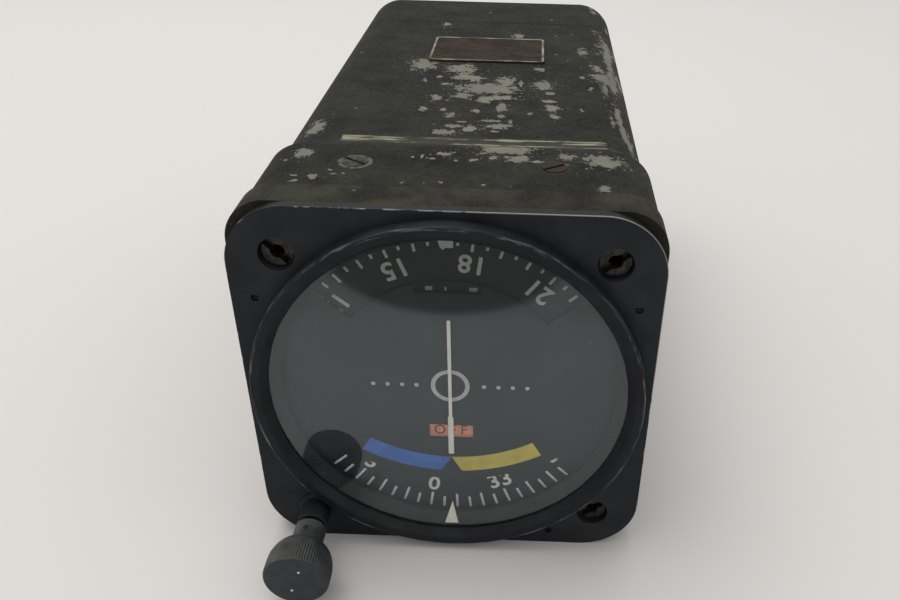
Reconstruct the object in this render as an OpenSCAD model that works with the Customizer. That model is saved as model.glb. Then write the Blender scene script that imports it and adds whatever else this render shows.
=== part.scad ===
// Course deviation indicator for a round panel hole, mounted from behind the panel.
// The dial axis is Y and the face looks to -Y, with X to the right and Z up.
// The origin lies on the dial axis, on the face plate's front.

/* [Face plate] */
// Width and height of the square face plate
face_w = 82.55; // [81.5:0.05:86]
// Corner radius of the face plate
face_corner_r = 12.5; // [10:0.5:14]
// Thickness of the face plate
face_t = 2.2; // [2:0.1:2.8]
// Distance of the mounting holes from the face's edges
hole_inset = 9.845; // [9.5:0.005:10.5]
// Radius of the opening round each mounting insert
recess_r = 3.45; // [3.2:0.05:3.8]
// Distance of the upper face screws from the face's sides
face_screw_inset = 4.625; // [4:0.025:5]
// Distance of the lower face screw from the face's lower edge
low_screw_inset = 3.775; // [3.4:0.025:4.2]
// Height of the upper face screws above the middle
face_screw_z = 21.9; // [21:0.1:23]
// Radius of the face screws
face_screw_r = 0.8; // [0.6:0.05:1]
// Depth of the face screws' heads below the face
face_screw_sink = 0.6; // [0.3:0.1:1]
// Length of the face screws inside the casting
face_screw_hold = 3; // [2.4:0.1:4]

/* [Mounting inserts] */
// Outer radius of a mounting insert
insert_r = 3; // [2.6:0.05:3.15]
// Radius of the insert's tapped bore
insert_bore_r = 1.4; // [1.2:0.05:1.6]
// Length of an insert
insert_len = 8.4; // [7:0.1:8.6]
// Depth of the insert's front below the face
insert_sink = 1.3; // [0.8:0.1:1.6]
// Width of the insert's screwdriver slot
insert_slot_w = 1.6; // [1:0.1:2]
// Depth of the insert's screwdriver slot
insert_slot_d = 1.5; // [1:0.1:2]

/* [Bezel] */
// Distance of the bezel ring from the face's edges
bezel_margin = 1.575; // [1.4:0.025:2]
// Width of the bezel ring from its outside to the window
bezel_w = 3.4; // [3:0.1:3.6]
// Height of the bezel ring in front of the face
bezel_proud = 3.4; // [3:0.1:4]
// Step from the bezel ring down to its neck
neck_step = 1.5; // [1.2:0.05:1.7]
// Wall of the bezel ring's neck
neck_wall = 0.8; // [0.6:0.05:1]
// Width of the bezel's sloped inner edge
bezel_slope = 1.1; // [0.6:0.1:1.4]
// Rounding of the bezel's front edge
bezel_round = 0.5; // [0.3:0.1:1.2]
// Distance of the glass's front ahead of the face
glass_proud = 1.3; // [1.1:0.1:1.6]
// Thickness of the cover glass
glass_t = 1.1; // [0.9:0.1:1.3]
// Width of the index ring
index_w = 3; // [2.6:0.1:3.4]
// Width of the index ring's flat rim under the glass
index_rim = 0.6; // [0.4:0.05:0.8]
// Depth of the straight edge inside the index ring
index_edge = 0.7; // [0.4:0.1:1]
// Width of the course pointer's base
pointer_w = 3; // [2.4:0.1:3.6]
// Length of the course pointer
pointer_len = 4.9; // [4.4:0.1:5.2]
// Length of the reciprocal mark
mark_len = 4.1; // [3.6:0.1:5.2]
// Width of the reciprocal mark at the glass
mark_w = 3; // [2.6:0.1:4]
// Width of the reciprocal mark at its inner end
mark_end_w = 2.5; // [1.8:0.1:3.6]
// Thickness of the two index tabs
tab_t = 0.3; // [0.2:0.05:0.4]

/* [Dial] */
// Gap between the index ring and the dial mask
mask_gap = 1.1; // [0.9:0.1:1.4]
// Thickness of the dial mask
mask_t = 0.5; // [0.4:0.05:0.7]
// Difference of radius from the cover glass to the dial mask
mask_step = 0.5; // [0.2:0.05:0.8]
// Width of the dial mask's rim outside the card windows
mask_rim = 0.9; // [0.7:0.1:1.3]
// Width of the card that the upper window's lower edge hides
upper_hide = 0.4; // [0.3:0.1:1]
// Half the angle over which each card window opens
card_window_angle = 51; // [46:1:56]
// Height of the needle's pivot above the dial's middle
pivot_z = 15; // [14.5:0.1:15.5]
// Width of the card that the lower window's upper edge hides
lower_hide = 1.2; // [0.8:0.1:1.6]
// Half the width of the flag window
flag_window_x = 4.7; // [4:0.1:5]
// Height of the flag window
flag_window_h = 3.8; // [3.4:0.1:4.2]
// Distance of the flag window's middle below the dial's middle
flag_window_z = 12.3; // [11.8:0.1:12.8]
// Half the width of the to and from slot
slot_x = 6.6; // [5.5:0.1:7]
// Height of the to and from slot
slot_h = 1.5; // [1.2:0.1:1.8]
// Distance of the to and from slot's middle inside the card
slot_inset = 1.6; // [1.5:0.05:1.8]
// Gap between the mask and the card
card_gap = 0.4; // [0.3:0.05:0.5]
// Difference of radius from the dial mask to the course card
card_step = 0.2; // [0:0.05:0.5]
// Width of the course card's printed ring
card_w = 12.1; // [11.5:0.1:12.3]
// Thickness of the course card
card_t = 0.6; // [0.5:0.05:0.8]

/* [Card train] */
// Teeth of the card gear
card_teeth = 120; // [120:1:120]
// Teeth of the knob pinion
knob_teeth = 20; // [20:1:20]
// Face width of the card gear and its pinion
card_gear_w = 2.4; // [2:0.1:2.8]
// Width of the card gear from its bore to its teeth
gear_rim = 6.4; // [6:0.1:7]
// Wall of the bearing ring
bearing_wall = 2; // [1.6:0.1:2.4]
// Width by which the retaining ring overhangs the bearing ring
retain_lip = 1.2; // [1:0.1:1.5]
// Thickness of the retaining ring
retain_t = 0.5; // [0.4:0.05:0.6]
// Play of a turning bore on its shaft or ring, on the radius
run_clear = 0.05; // [0.02:0.01:0.08]
// Sideways gap beside a turning gear
side_gap = 0.4; // [0.3:0.05:0.5]
// Play between meshed teeth, at the pitch circle
backlash = 0.1; // [0.08:0.01:0.14]

/* [Knob] */
// Distance of the knob's axis from the face's left side
knob_inset_x = 11.075; // [10.5:0.025:11.5]
// Distance of the knob's axis from the face's lower edge
knob_inset_z = 8.675; // [8.5:0.025:9.2]
// Radius of the knob's shaft
shaft_r = 1.5875; // [1.5:0.0125:1.7]
// Radius of the knob's head
knob_r = 6.85; // [6:0.05:7.4]
// Distance of the knob's front from the face
knob_reach = 21.7; // [20:0.1:24]
// Length of the head's straight rim
knob_rim = 2.6; // [2:0.1:3.4]
// Length of the head's domed back
knob_dome = 5.6; // [4.5:0.1:6]
// Radius of the knob's sleeve
sleeve_r = 3.35; // [3:0.05:3.6]
// Rounding of the knob's front edge
knob_round = 0.8; // [0.4:0.1:1]
// Ridges round the knob's head
knob_ridges = 72; // [48:4:84]
// Depth of a ridge
ridge_d = 0.22; // [0.15:0.01:0.3]
// Radius of the shaft's bushing
bushing_r = 3.25; // [3:0.05:3.4]
// Height of the bushing in front of the face
bushing_proud = 6; // [5:0.1:6.4]
// Radius of the bushing's shoulder on the face
shoulder_r = 4; // [3.8:0.05:4.2]
// Height of the bushing's shoulder
shoulder_h = 0.8; // [0.5:0.1:1.2]
// Gap between the bushing and the knob's sleeve
sleeve_gap = 1; // [0.6:0.1:1.4]
// Thickness of the bushing's nut
nut_t = 2; // [1.6:0.1:2.1]

/* [Casting and case] */
// Corner radius of the front casting
casting_corner_r = 8.5; // [7.5:0.1:9]
// Gap between the card gear's teeth and the casting
cavity_gap = 0.66; // [0.5:0.02:0.8]
// Width of the casting's ledge under the front plate
ledge_w = 2.3; // [2:0.1:2.6]
// Thickness of the casting's ledge
ledge_t = 0.8; // [0.6:0.1:1.2]
// Length of the casting's skirt inside the cover
skirt_len = 19; // [17:0.5:20]
// Wall of the casting's skirt
skirt_wall = 1.5; // [1.2:0.1:1.8]
// Wall of the case cover
cover_t = 1; // [0.8:0.05:1.2]
// Step from the casting down to the cover
cover_step = 0.275; // [0.2:0.025:0.4]
// Corner radius of the cover's front
cover_corner_r = 9; // [8:0.1:10]
// Step from the face's edge down to the case behind the joggle
case_step = 0.975; // [0.6:0.025:1.4]
// Corner radius of the case behind the joggle
case_corner_r = 11; // [10:0.1:12]
// Distance of the joggle's front from the face
joggle_y = 31; // [30.5:0.1:33]
// Length of the joggle
joggle_len = 5; // [4:0.1:6]
// Distance of the rear cap's seam from the face
seam_y = 136; // [132:1:140]
// Distance of the rear cap's back from the face
case_end = 165; // [162:0.5:170]
// Fit of a piece slid into another, on each side
slide_fit = 0.05; // [0.03:0.01:0.1]
// Distance of the cover screws from the face
cover_screw_y = 22; // [19:0.5:25]
// Distance of the cover screws from the middle, sideways
cover_screw_x = 19.9; // [18:0.1:22]
// Radius of a cover screw's head
cover_screw_head_r = 2.6; // [2.2:0.05:3]

/* [Data plate] */
// Length of the data plate across the case
plate_w = 31.5; // [28:0.5:34]
// Width of the data plate along the case
plate_d = 23; // [20:0.5:25]
// Thickness of the data plate
data_t = 0.4; // [0.3:0.05:0.6]
// Place of the data plate's middle across the case
plate_x = 2.3; // [0:0.1:4]
// Distance of the data plate's middle from the face
plate_y = 105.5; // [100:0.5:110]

/* [Movement] */
// Gap between the rear plate and the case
plate_clear = 1.8; // [1.5:0.1:2.1]
// Thickness of the two frame plates
frame_t = 1.6; // [1.4:0.1:1.8]
// Distance of the rear plate's front from the face
rear_plate_y = 84; // [80:0.5:88]
// Distance of the frame posts from the face's edges
frame_post_inset = 17.075; // [16.8:0.025:17.5]
// Radius of the frame posts and rear posts
post_r = 2.2; // [1.8:0.1:2.4]
// Radius of the staked tenons of the posts
tenon_r = 1.2; // [1:0.05:1.4]
// Distance of the rear posts from the case's sides
rear_post_inset = 9.3; // [9:0.1:10]
// Radius of the mask posts
mask_post_r = 1.1; // [0.9:0.05:1.15]
// Distance of the mask posts inside the card
mask_post_inset = 2; // [1.8:0.1:2.4]
// Radius of the lightening holes in the front plate
light_hole_r = 4.5; // [4:0.1:5]
// Radius of the three small screws that hold the front plate
plate_screw_r = 0.6; // [0.5:0.05:0.7]
// Radius of their heads
plate_screw_head_r = 0.95; // [0.9:0.05:1]

/* [Meters] */
// Outer radius of the needle's meter cup
needle_cup_r = 9.5; // [9:0.1:9.8]
// Length of the needle's meter cup
needle_cup_len = 16.8; // [15:0.1:19]
// Outer radius of the flag meters' cups
flag_cup_r = 5.6; // [5.2:0.1:6]
// Length of the flag meters' cups
flag_cup_len = 10.8; // [10:0.1:13]
// Wall of a meter cup
cup_wall = 0.8; // [0.6:0.05:1]
// Radius of the meter arbors
arbor_r = 0.55; // [0.45:0.05:0.65]
// Gap between the needle and the mask
needle_gap = 0.5; // [0.4:0.05:0.6]
// Thickness of the needle
needle_t = 0.3; // [0.25:0.05:0.35]
// Width of the needle's upper part
needle_w = 0.7; // [0.5:0.05:0.8]
// Width of the needle's lower part
needle_tip_w = 1.15; // [0.9:0.05:1.4]
// Distance of the needle's lower end below the pivot
needle_len = 32.8; // [32:0.1:33.4]
// Length of the needle's wide lower part
needle_wide_len = 10; // [8:0.5:12]
// Length of the needle's tail above the pivot
needle_tail = 1.5; // [1.2:0.1:2]
// Radius of the needle arbor's thin tip
needle_arbor_r = 0.3; // [0.25:0.05:0.4]
// Play of the needle arbor's tip in the dial mask, on the radius
needle_play = 0.12; // [0.08:0.01:0.2]
// Thickness of both flags
flag_t = 0.2; // [0.15:0.05:0.25]
// Distance of the OFF flag's pivot inside the card, along the flag's arm
off_pivot_inset = 5.8; // [5.4:0.1:6.2]
// Height of the to and from flag's pivot below the dial's middle
tofrom_pivot_z = 2; // [1.8:0.1:2.2]

/* [Resolver train] */
// Teeth of the pinion at the shaft's rear
rear_teeth = 16; // [16:1:16]
// Teeth of the idler gear
idler_teeth = 28; // [28:1:28]
// Teeth of the resolver gear
resolver_teeth = 96; // [96:1:96]
// Face width of the rear gears
rear_gear_w = 2.2; // [1.8:0.1:2.6]
// Radius of the resolver gear's hub
hub_r = 4.2; // [3.5:0.1:5]
// Length of the resolver gear's hub
hub_len = 2.6; // [2:0.1:3]
// Radius of the resolver's body
resolver_r = 13.5; // [12.5:0.1:14]
// Length of the resolver's body
resolver_len = 38; // [34:0.5:39]
// Distance of the resolver's standoffs inside the rear plate's sides
standoff_inset = 6.5; // [6:0.1:7]
// Radius of the resolver's standoffs
standoff_r = 2.5; // [2.2:0.1:2.6]
// Width by which the resolver's plate reaches past its standoffs
resolver_plate_rim = 4; // [3.5:0.1:4.5]
// Radius of the resolver plate's lightening holes
resolver_hole_r = 4; // [3.5:0.1:4.2]
// Length of the standoffs
standoff_len = 7.6; // [7.2:0.1:8.2]
// Radius of the idler's stud
stud_r = 1.5; // [1.3:0.05:1.7]

/* [Rear end] */
// Wall at the rear cap's back
cap_t = 2; // [1.6:0.1:2.4]
// Rounding of the rear cap's back edge
cap_round = 2; // [1.5:0.1:3]
// Length of the cap's lip inside the cover
lip_len = 5; // [4:0.5:7]
// Width of the cap's open seam
seam_gap = 0.25; // [0.15:0.05:0.4]
// Radius of the connector's barrel
barrel_r = 12.5; // [12:0.1:13]
// Wall of the connector's barrel
barrel_wall = 1.3; // [1:0.1:1.6]
// Length of the connector's barrel behind its flange
barrel_len = 11.4; // [10:0.1:13]
// Width of the connector's square flange
flange_w = 31; // [30:0.5:34]
// Thickness of the connector's flange
flange_t = 1.6; // [1.4:0.1:2]
// Contacts in the connector's outer circle
contacts = 9; // [7:1:10]
// Radius of a connector contact
contact_r = 0.6; // [0.5:0.05:0.7]
// Length of the connector's insert inside the case
insert_reach = 3; // [2:0.5:5]
// Length of the contacts inside the case
contact_reach = 6; // [5:0.5:8]
// Length of the cap screws inside the rear posts
cap_screw_hold = 6; // [4:0.5:6.5]

/* [Hidden] */
$fn = 96;

// A small overlap that keeps cuts from ending on a face
cut = 0.02;
pressure_angle = 20;
tooth_head = 0.85;
tooth_foot = 1.05;
bond = 0.01;

half_w = face_w / 2;
hole_x = half_w - hole_inset;
hole_places = [[-hole_x, hole_x], [hole_x, hole_x], [hole_x, -hole_x]];
slot_turns = [135, 38, 38];
face_screw_x = half_w - face_screw_inset;
face_screw_places = [
    [-face_screw_x, face_screw_z], [face_screw_x, face_screw_z], [face_screw_z, low_screw_inset - half_w]
];

// Radii of the dial, counted inwards from the bezel ring
bezel_r = half_w - bezel_margin;
neck_r = bezel_r - neck_step;
window_r = bezel_r - bezel_w;
glass_r = neck_r - neck_wall;
index_r = glass_r - index_w;
mask_r = glass_r - mask_step;
card_window_r = mask_r - mask_rim;
card_r = mask_r - card_step;
card_inner_r = card_r - card_w;
upper_window_r = card_inner_r + upper_hide;
lower_window_r = pivot_z + card_inner_r + lower_hide;
slot_z = card_inner_r - slot_inset;
knob_x = knob_inset_x - half_w;
knob_z = knob_inset_z - half_w;

// Stations along the dial axis, from the glass to the casting's ledge
glass_y0 = -glass_proud;
glass_y1 = glass_y0 + glass_t;
mask_y0 = face_t + mask_gap;
mask_y1 = mask_y0 + mask_t;
card_y0 = mask_y1 + card_gap;
gear_y0 = card_y0 + card_t;
gear_y1 = gear_y0 + card_gear_w;
front_plate_y0 = gear_y1 + side_gap;
front_plate_y1 = front_plate_y0 + frame_t;
rim_y = front_plate_y1 + ledge_t;
skirt_y = rim_y + skirt_len;
retain_y0 = gear_y0 + 0.3;
retain_y1 = retain_y0 + retain_t;
needle_y0 = mask_y0 - needle_gap - needle_t;
off_y0 = mask_y1 + 0.25;
tofrom_y0 = off_y0 + flag_t + 0.35;

// Gear sizes follow from where the knob's axis lies
knob_dist = norm([knob_x, knob_z]);
knob_dir = atan2(knob_z, knob_x);
card_module = 2 * knob_dist / (card_teeth + knob_teeth);
card_tip_r = card_module * (card_teeth / 2 + tooth_head);
bearing_r = card_module * (card_teeth / 2 - tooth_foot) - gear_rim;
knob_tip_r = card_module * (knob_teeth / 2 + tooth_head);
rear_module = 2 * knob_dist / (rear_teeth + 2 * idler_teeth + resolver_teeth);
idler_dist = rear_module * (resolver_teeth + idler_teeth) / 2;
idler_x = idler_dist * cos(knob_dir);
idler_z = idler_dist * sin(knob_dir);
cavity_r = card_tip_r + cavity_gap;
front_plate_r = cavity_r - 0.2;
ledge_r = cavity_r - ledge_w;
pocket_r = knob_tip_r + 0.28;

// Shells, each as half its width and its corner radius
cover_half = half_w - cover_step;
case_half = half_w - case_step;
skirt_half = cover_half - cover_t - slide_fit;
skirt_corner_r = cover_corner_r - cover_t - slide_fit;
cap_half = case_half - cover_t - slide_fit;
cap_corner_r = case_corner_r - cover_t - slide_fit;
rear_plate_half = case_half - cover_t - plate_clear;
standoff_ring_r = rear_plate_half - standoff_inset;

// Stations of the resolver train and the rear end
rear_plate_y1 = rear_plate_y + frame_t;
rear_gear_y = rear_plate_y1 + 0.7;
rear_gear_y1 = rear_gear_y + rear_gear_w;
resolver_plate_y = rear_plate_y1 + standoff_len;
resolver_plate_t = 2;
resolver_y = resolver_plate_y + resolver_plate_t;
shaft_end_y = rear_gear_y1 + 1.4;
cap_inner_y = case_end - cap_t;
barrel_y0 = case_end + flange_t;
insert_back_y = barrel_y0 + 1.4;
contact_end_y = insert_back_y + 4.4;

// Knob stations, counted forward from the face
sleeve_back = bushing_proud + sleeve_gap;
dome_front = knob_reach - knob_round - knob_rim;
dome_back = dome_front - knob_dome;

// Index tabs lie on the index ring's cone
cone_r = glass_r - index_rim;
cone_y1 = face_t - index_edge;
cone_angle = atan2(cone_y1 - glass_y1, cone_r - index_r);

mask_post_places = [for (a = [12, 168, 236, 304]) polar(card_inner_r - mask_post_inset, a)];
mask_tenon_r = 0.7;
frame_post_x = half_w - frame_post_inset;
rear_post_x = case_half - rear_post_inset;
light_hole_ring_r = bearing_r - bearing_wall - light_hole_r - 0.5;
// The lower left post stands clear of the idler's stud
frame_post_places = [
    [-frame_post_x, frame_post_x], [frame_post_x, frame_post_x], [frame_post_x, -frame_post_x],
    polar(knob_dist - 10.25, knob_dir + 22.2)
];
rear_post_places = [[rear_post_x, rear_post_x], [-rear_post_x, rear_post_x], [rear_post_x, -rear_post_x]];
standoff_angles = [60, 180, 300];
plate_screw_angles = [45, 135, 315];
plate_screw_ring_r = cavity_r - ledge_w / 2 - 0.1;
cover_screw_r = 1.1;
cap_screw_r = 1.2;
cap_screw_head_r = 2.6;
head_t = 1.3;

// Half the angle of a tooth at a radius, for an involute flank
function involute(a) = tan(a) * 180 / PI - a;
function half_tooth(teeth, pitch_r, r) =
    let (base_r = pitch_r * cos(pressure_angle))
    90 / teeth - backlash * 45 / (PI * pitch_r) + involute(pressure_angle)
    - (r > base_r ? involute(acos(base_r / r)) : 0);

function polar(r, a) = [r * cos(a), r * sin(a)];
function arc(r, a0, a1, steps, x = 0, z = 0) =
    [for (i = [0:steps]) [x, z] + polar(r, a0 + (a1 - a0) * i / steps)];

// Outline of a gear whose first tooth points in the direction given
function gear_outline(teeth, m, steps, turn) =
    let (pitch_r = m * teeth / 2, root_r = pitch_r - tooth_foot * m, depth = (tooth_head + tooth_foot) * m)
    [for (k = [0:teeth - 1], j = [0:2 * steps + 1])
        let (i = j <= steps ? j : 2 * steps + 1 - j,
             r = root_r + depth * i / steps,
             side = j <= steps ? -1 : 1)
        polar(r, turn + 360 * k / teeth + side * half_tooth(teeth, pitch_r, r))];

// A flat shape in X and Z, made thick along Y
module slab(y0, y1) {
    translate([0, y1, 0]) rotate([90, 0, 0]) linear_extrude(y1 - y0) children();
}

// A round bar along Y
module rod(y0, y1, r, x = 0, z = 0) {
    translate([x, y1, z]) rotate([90, 0, 0]) cylinder(h = y1 - y0, r = r);
}

// A turned piece along Y, from points of radius and Y
module turned(points, x = 0, z = 0) {
    translate([x, 0, z]) rotate([-90, 0, 0]) rotate_extrude() polygon(points);
}

// A square with rounded corners, from half its width
module rounded_square(half, r) {
    square([2 * half, 2 * (half - r)], center = true);
    square([2 * (half - r), 2 * half], center = true);
    for (sx = [-1, 1], sz = [-1, 1]) translate([sx * (half - r), sz * (half - r)]) circle(r);
}

// A thin rounded square, one end of a blended shell
module shell_end(y, half, r) {
    slab(y, y + cut) rounded_square(half, r, $fn = 48);
}

module at(places) {
    for (p = places) translate([p[0], 0, p[1]]) children();
}

module face_plate() {
    color("#202226") difference() {
        slab(0, face_t) rounded_square(half_w, face_corner_r);
        rod(-cut, face_t + cut, neck_r + slide_fit);
        at(hole_places) rod(-cut, face_t + cut, recess_r);
        at(face_screw_places) rod(-cut, face_t + cut, face_screw_r + bond);
        rod(-cut, face_t + cut, bushing_r + bond, knob_x, knob_z);
    }
}

module face_screws() {
    color("#3a3c3e") at(face_screw_places) difference() {
        rod(face_screw_sink, face_t + face_screw_hold, face_screw_r);
        translate([-face_screw_r - cut, 0, -0.12])
            cube([2 * face_screw_r + 2 * cut, face_screw_sink + 0.4, 0.24]);
    }
}

module bezel_ring() {
    slope_r = window_r + bezel_slope;
    color("#1c1e21") turned(concat(
        [[neck_r, face_t], [glass_r, face_t], [glass_r, -glass_proud], [window_r, -glass_proud]],
        [[window_r, -glass_proud - 0.4], [slope_r, -bezel_proud + 0.25], [slope_r + 0.35, -bezel_proud]],
        arc(bezel_round, 270, 360, 8, bezel_r - bezel_round, -bezel_proud + bezel_round),
        [[bezel_r, 0], [neck_r, 0]]
    ));
}

module cover_glass() {
    color("#c8d4d8", 0.25) rod(glass_y0, glass_y1, glass_r - bond);
}

module index_ring() {
    color("#222428") turned([
        [glass_r - bond, glass_y1], [glass_r - bond, face_t], [index_r, face_t],
        [index_r, cone_y1], [cone_r, glass_y1]
    ]);
}

// Stands a flat tab on the cone, its base at the glass and its tip towards the middle
module on_cone() {
    lift = 0.05;
    start = ((tab_t + lift) * cos(cone_angle) + lift) / sin(cone_angle);
    translate([0, glass_y1, -cone_r]) rotate([90 - cone_angle, 0, 0]) translate([0, start, lift])
        linear_extrude(tab_t) children();
}

module course_pointer() {
    color("#d8d2b4") on_cone()
        polygon([[-pointer_w / 2, 0], [pointer_w / 2, 0], [0, pointer_len]]);
}

module reciprocal_mark() {
    color("#c9c7bd") rotate([0, 180, 0]) on_cone() polygon([
        [-mark_w / 2, 0], [mark_w / 2, 0], [mark_end_w / 2, mark_len], [-mark_end_w / 2, mark_len]
    ]);
}

module front_casting() {
    color("#3f423a") difference() {
        union() {
            slab(face_t, rim_y) rounded_square(half_w, casting_corner_r);
            slab(rim_y - cut, skirt_y) rounded_square(skirt_half, skirt_corner_r);
        }
        rod(face_t - cut, front_plate_y1, cavity_r);
        rod(face_t, rim_y + cut, ledge_r);
        slab(rim_y, skirt_y + cut) rounded_square(skirt_half - skirt_wall, skirt_corner_r - skirt_wall);
        rod(face_t - cut, front_plate_y0, pocket_r, knob_x, knob_z);
        rod(face_t, rim_y + cut, shaft_r + run_clear, knob_x, knob_z);
        at(hole_places) rod(face_t - cut, rim_y + cut, insert_r + bond);
        at(face_screw_places) rod(face_t - cut, face_t + face_screw_hold, face_screw_r + bond);
        for (a = plate_screw_angles) rotate([0, -a, 0])
            rod(front_plate_y1 - cut, rim_y + cut, plate_screw_r + bond, plate_screw_ring_r, 0);
        for (sx = [-1, 1], turn = [0, 180]) rotate([0, turn, 0]) cover_screw_hole(sx, cover_screw_r + bond);
    }
}

// A hole through the top of the shells at a cover screw
module cover_screw_hole(side, r) {
    translate([side * cover_screw_x, cover_screw_y, skirt_half - skirt_wall - 1])
        cylinder(h = skirt_wall + cover_t + 3, r = r);
}

module mounting_inserts() {
    color("#6d6c68") for (i = [0:2]) translate([hole_places[i][0], 0, hole_places[i][1]]) difference() {
        rod(insert_sink, insert_sink + insert_len, insert_r);
        rod(insert_sink - cut, insert_sink + insert_len + cut, insert_bore_r);
        rotate([0, -slot_turns[i], 0]) translate([-insert_r - cut, insert_sink - cut, -insert_slot_w / 2])
            cube([2 * insert_r + 2 * cut, insert_slot_d + cut, insert_slot_w]);
    }
}

// The cover's outline, or its inner surface when it is drawn in
module cover_body(draw_in, y0, y1) {
    slab(y0, joggle_y) rounded_square(cover_half - draw_in, cover_corner_r - draw_in);
    hull() {
        shell_end(joggle_y - cut, cover_half - draw_in, cover_corner_r - draw_in);
        shell_end(joggle_y + joggle_len, case_half - draw_in, case_corner_r - draw_in);
    }
    slab(joggle_y + joggle_len, y1) rounded_square(case_half - draw_in, case_corner_r - draw_in);
}

module case_cover() {
    color("#43463d") difference() {
        cover_body(0, rim_y, seam_y);
        cover_body(cover_t, rim_y - cut, seam_y + cut);
        for (sx = [-1, 1], turn = [0, 180]) rotate([0, turn, 0])
            cover_screw_hole(sx, cover_screw_head_r + slide_fit);
    }
}

module cover_screws() {
    head_h = cover_half + 0.15 - skirt_half;
    color("#8c8778") for (sx = [-1, 1], turn = [0, 180]) rotate([0, turn, 0])
        translate([sx * cover_screw_x, cover_screw_y, skirt_half]) difference() {
            union() {
                translate([0, 0, slide_fit]) cylinder(h = head_h - slide_fit, r = cover_screw_head_r);
                translate([0, 0, -skirt_wall - 0.6]) cylinder(h = skirt_wall + 1, r = cover_screw_r);
            }
            rotate([0, 0, 35 * sx]) translate([-3, -0.35, head_h - 0.6]) cube([6, 0.7, 1]);
        }
}

module data_plate() {
    color("#6a5546") translate([plate_x, plate_y, case_half]) linear_extrude(data_t) offset(r = 1.5)
        square([plate_w - 3, plate_d - 3], center = true);
}

module rear_cap() {
    round_step = cap_round / 3;
    color("#3b3e37") difference() {
        union() {
            slab(seam_y + seam_gap, case_end - cap_round) rounded_square(case_half, case_corner_r);
            slab(seam_y - lip_len, seam_y + seam_gap + cut) rounded_square(cap_half, cap_corner_r);
            hull() {
                shell_end(case_end - cap_round - cut, case_half, case_corner_r);
                shell_end(case_end - round_step, case_half - round_step, case_corner_r - round_step);
                shell_end(case_end - cut, case_half - cap_round, case_corner_r - cap_round);
            }
        }
        slab(seam_y - lip_len - cut, cap_inner_y) rounded_square(cap_half - cover_t, cap_corner_r - cover_t);
        rod(cap_inner_y - cut, case_end + cut, barrel_r - barrel_wall + bond);
        at(rear_post_places) rod(cap_inner_y - cut, case_end + cut, cap_screw_r + bond);
        at(flange_places) rod(cap_inner_y - cut, case_end + cut, cap_screw_r + bond);
    }
}

// A slotted round head on the outside of the rear cap, with its shank
module rear_screw(seat_y, head_r, shank_len) {
    difference() {
        union() {
            rod(seat_y - shank_len, seat_y + cut, cap_screw_r);
            turned([
                [0, seat_y], [head_r, seat_y], [head_r, seat_y + 0.7],
                [head_r - 0.6, seat_y + head_t], [0, seat_y + head_t]
            ]);
        }
        rotate([0, 30, 0]) translate([-head_r - 1, seat_y + 0.6, -0.3]) cube([2 * head_r + 2, head_t, 0.6]);
    }
}

flange_places = [for (sx = [-1, 1], sz = [-1, 1]) [sx, sz] * (flange_w / 2 - 3)];

module cap_screws() {
    color("#7d7a6e") at(rear_post_places) rear_screw(case_end, cap_screw_head_r, cap_t + cap_screw_hold);
}

module connector_screws() {
    color("#7d7a6e") at(flange_places) rear_screw(barrel_y0, 2.1, flange_t + cap_t + 1);
}

module connector_shell() {
    groove = [[0, 4], [0.35, 4.35], [0, 4.7]];
    thread = [for (i = [0:5], p = groove) [barrel_r - p[0], barrel_y0 + i + p[1]]];
    barrel_y1 = barrel_y0 + barrel_len;
    inner_r = barrel_r - barrel_wall;
    color("#7a7c74") difference() {
        union() {
            slab(case_end, barrel_y0) rounded_square(flange_w / 2, 3);
            turned(concat(
                [[inner_r - 1, barrel_y0 - cut], [barrel_r, barrel_y0 - cut]],
                thread,
                [[barrel_r, barrel_y1], [inner_r, barrel_y1], [inner_r, barrel_y0]]
            ));
        }
        rod(case_end - cut, barrel_y0 + cut, inner_r + bond);
        at(flange_places) rod(case_end - cut, barrel_y0 + cut, cap_screw_r + bond);
    }
}

contact_places = concat([[0, 0]], [for (i = [0:contacts - 1]) polar(7.4, 90 + 360 * i / contacts)]);

module connector_insert() {
    color("#2b2a28") difference() {
        rod(cap_inner_y - insert_reach, insert_back_y, barrel_r - barrel_wall);
        at(contact_places) rod(cap_inner_y - insert_reach - cut, insert_back_y + cut, contact_r + bond);
    }
}

module connector_contacts() {
    contact_y = cap_inner_y - contact_reach;
    color("#c2a14d") at(contact_places) turned([
        [0, contact_y], [contact_r, contact_y], [contact_r, contact_end_y - 0.5],
        [contact_r - 0.3, contact_end_y], [0, contact_end_y]
    ]);
}

// One card window, a band of the mask's rim about the direction given
module window_band(inner_r, middle) {
    steps = 24;
    polygon(concat(
        arc(card_window_r, middle - card_window_angle, middle + card_window_angle, steps),
        arc(inner_r, middle + card_window_angle, middle - card_window_angle, steps)
    ));
}

module dial_mask() {
    color("#26292b") difference() {
        rod(mask_y0, mask_y1, mask_r);
        slab(mask_y0 - cut, mask_y1 + cut) window_band(upper_window_r, 90);
        slab(mask_y0 - cut, mask_y1 + cut) difference() {
            window_band(upper_window_r - 2, 270);
            translate([0, pivot_z]) circle(lower_window_r);
        }
        slab(mask_y0 - cut, mask_y1 + cut) translate([-flag_window_x, -flag_window_z - flag_window_h / 2])
            square([2 * flag_window_x, flag_window_h]);
        slab(mask_y0 - cut, mask_y1 + cut)
            translate([-slot_x, slot_z - slot_h / 2]) square([2 * slot_x, slot_h]);
        rod(mask_y0 - cut, mask_y1 + cut, needle_arbor_r + needle_play, 0, pivot_z);
        at(mask_post_places) rod(mask_y0 - cut, mask_y1 + cut, mask_tenon_r + bond);
    }
}

module mask_posts() {
    color("#77786f") at(mask_post_places) {
        rod(mask_y0, mask_y1 + cut, mask_tenon_r);
        rod(mask_y1, front_plate_y0, mask_post_r);
        rod(front_plate_y0 - cut, front_plate_y1, mask_tenon_r);
    }
}

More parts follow.
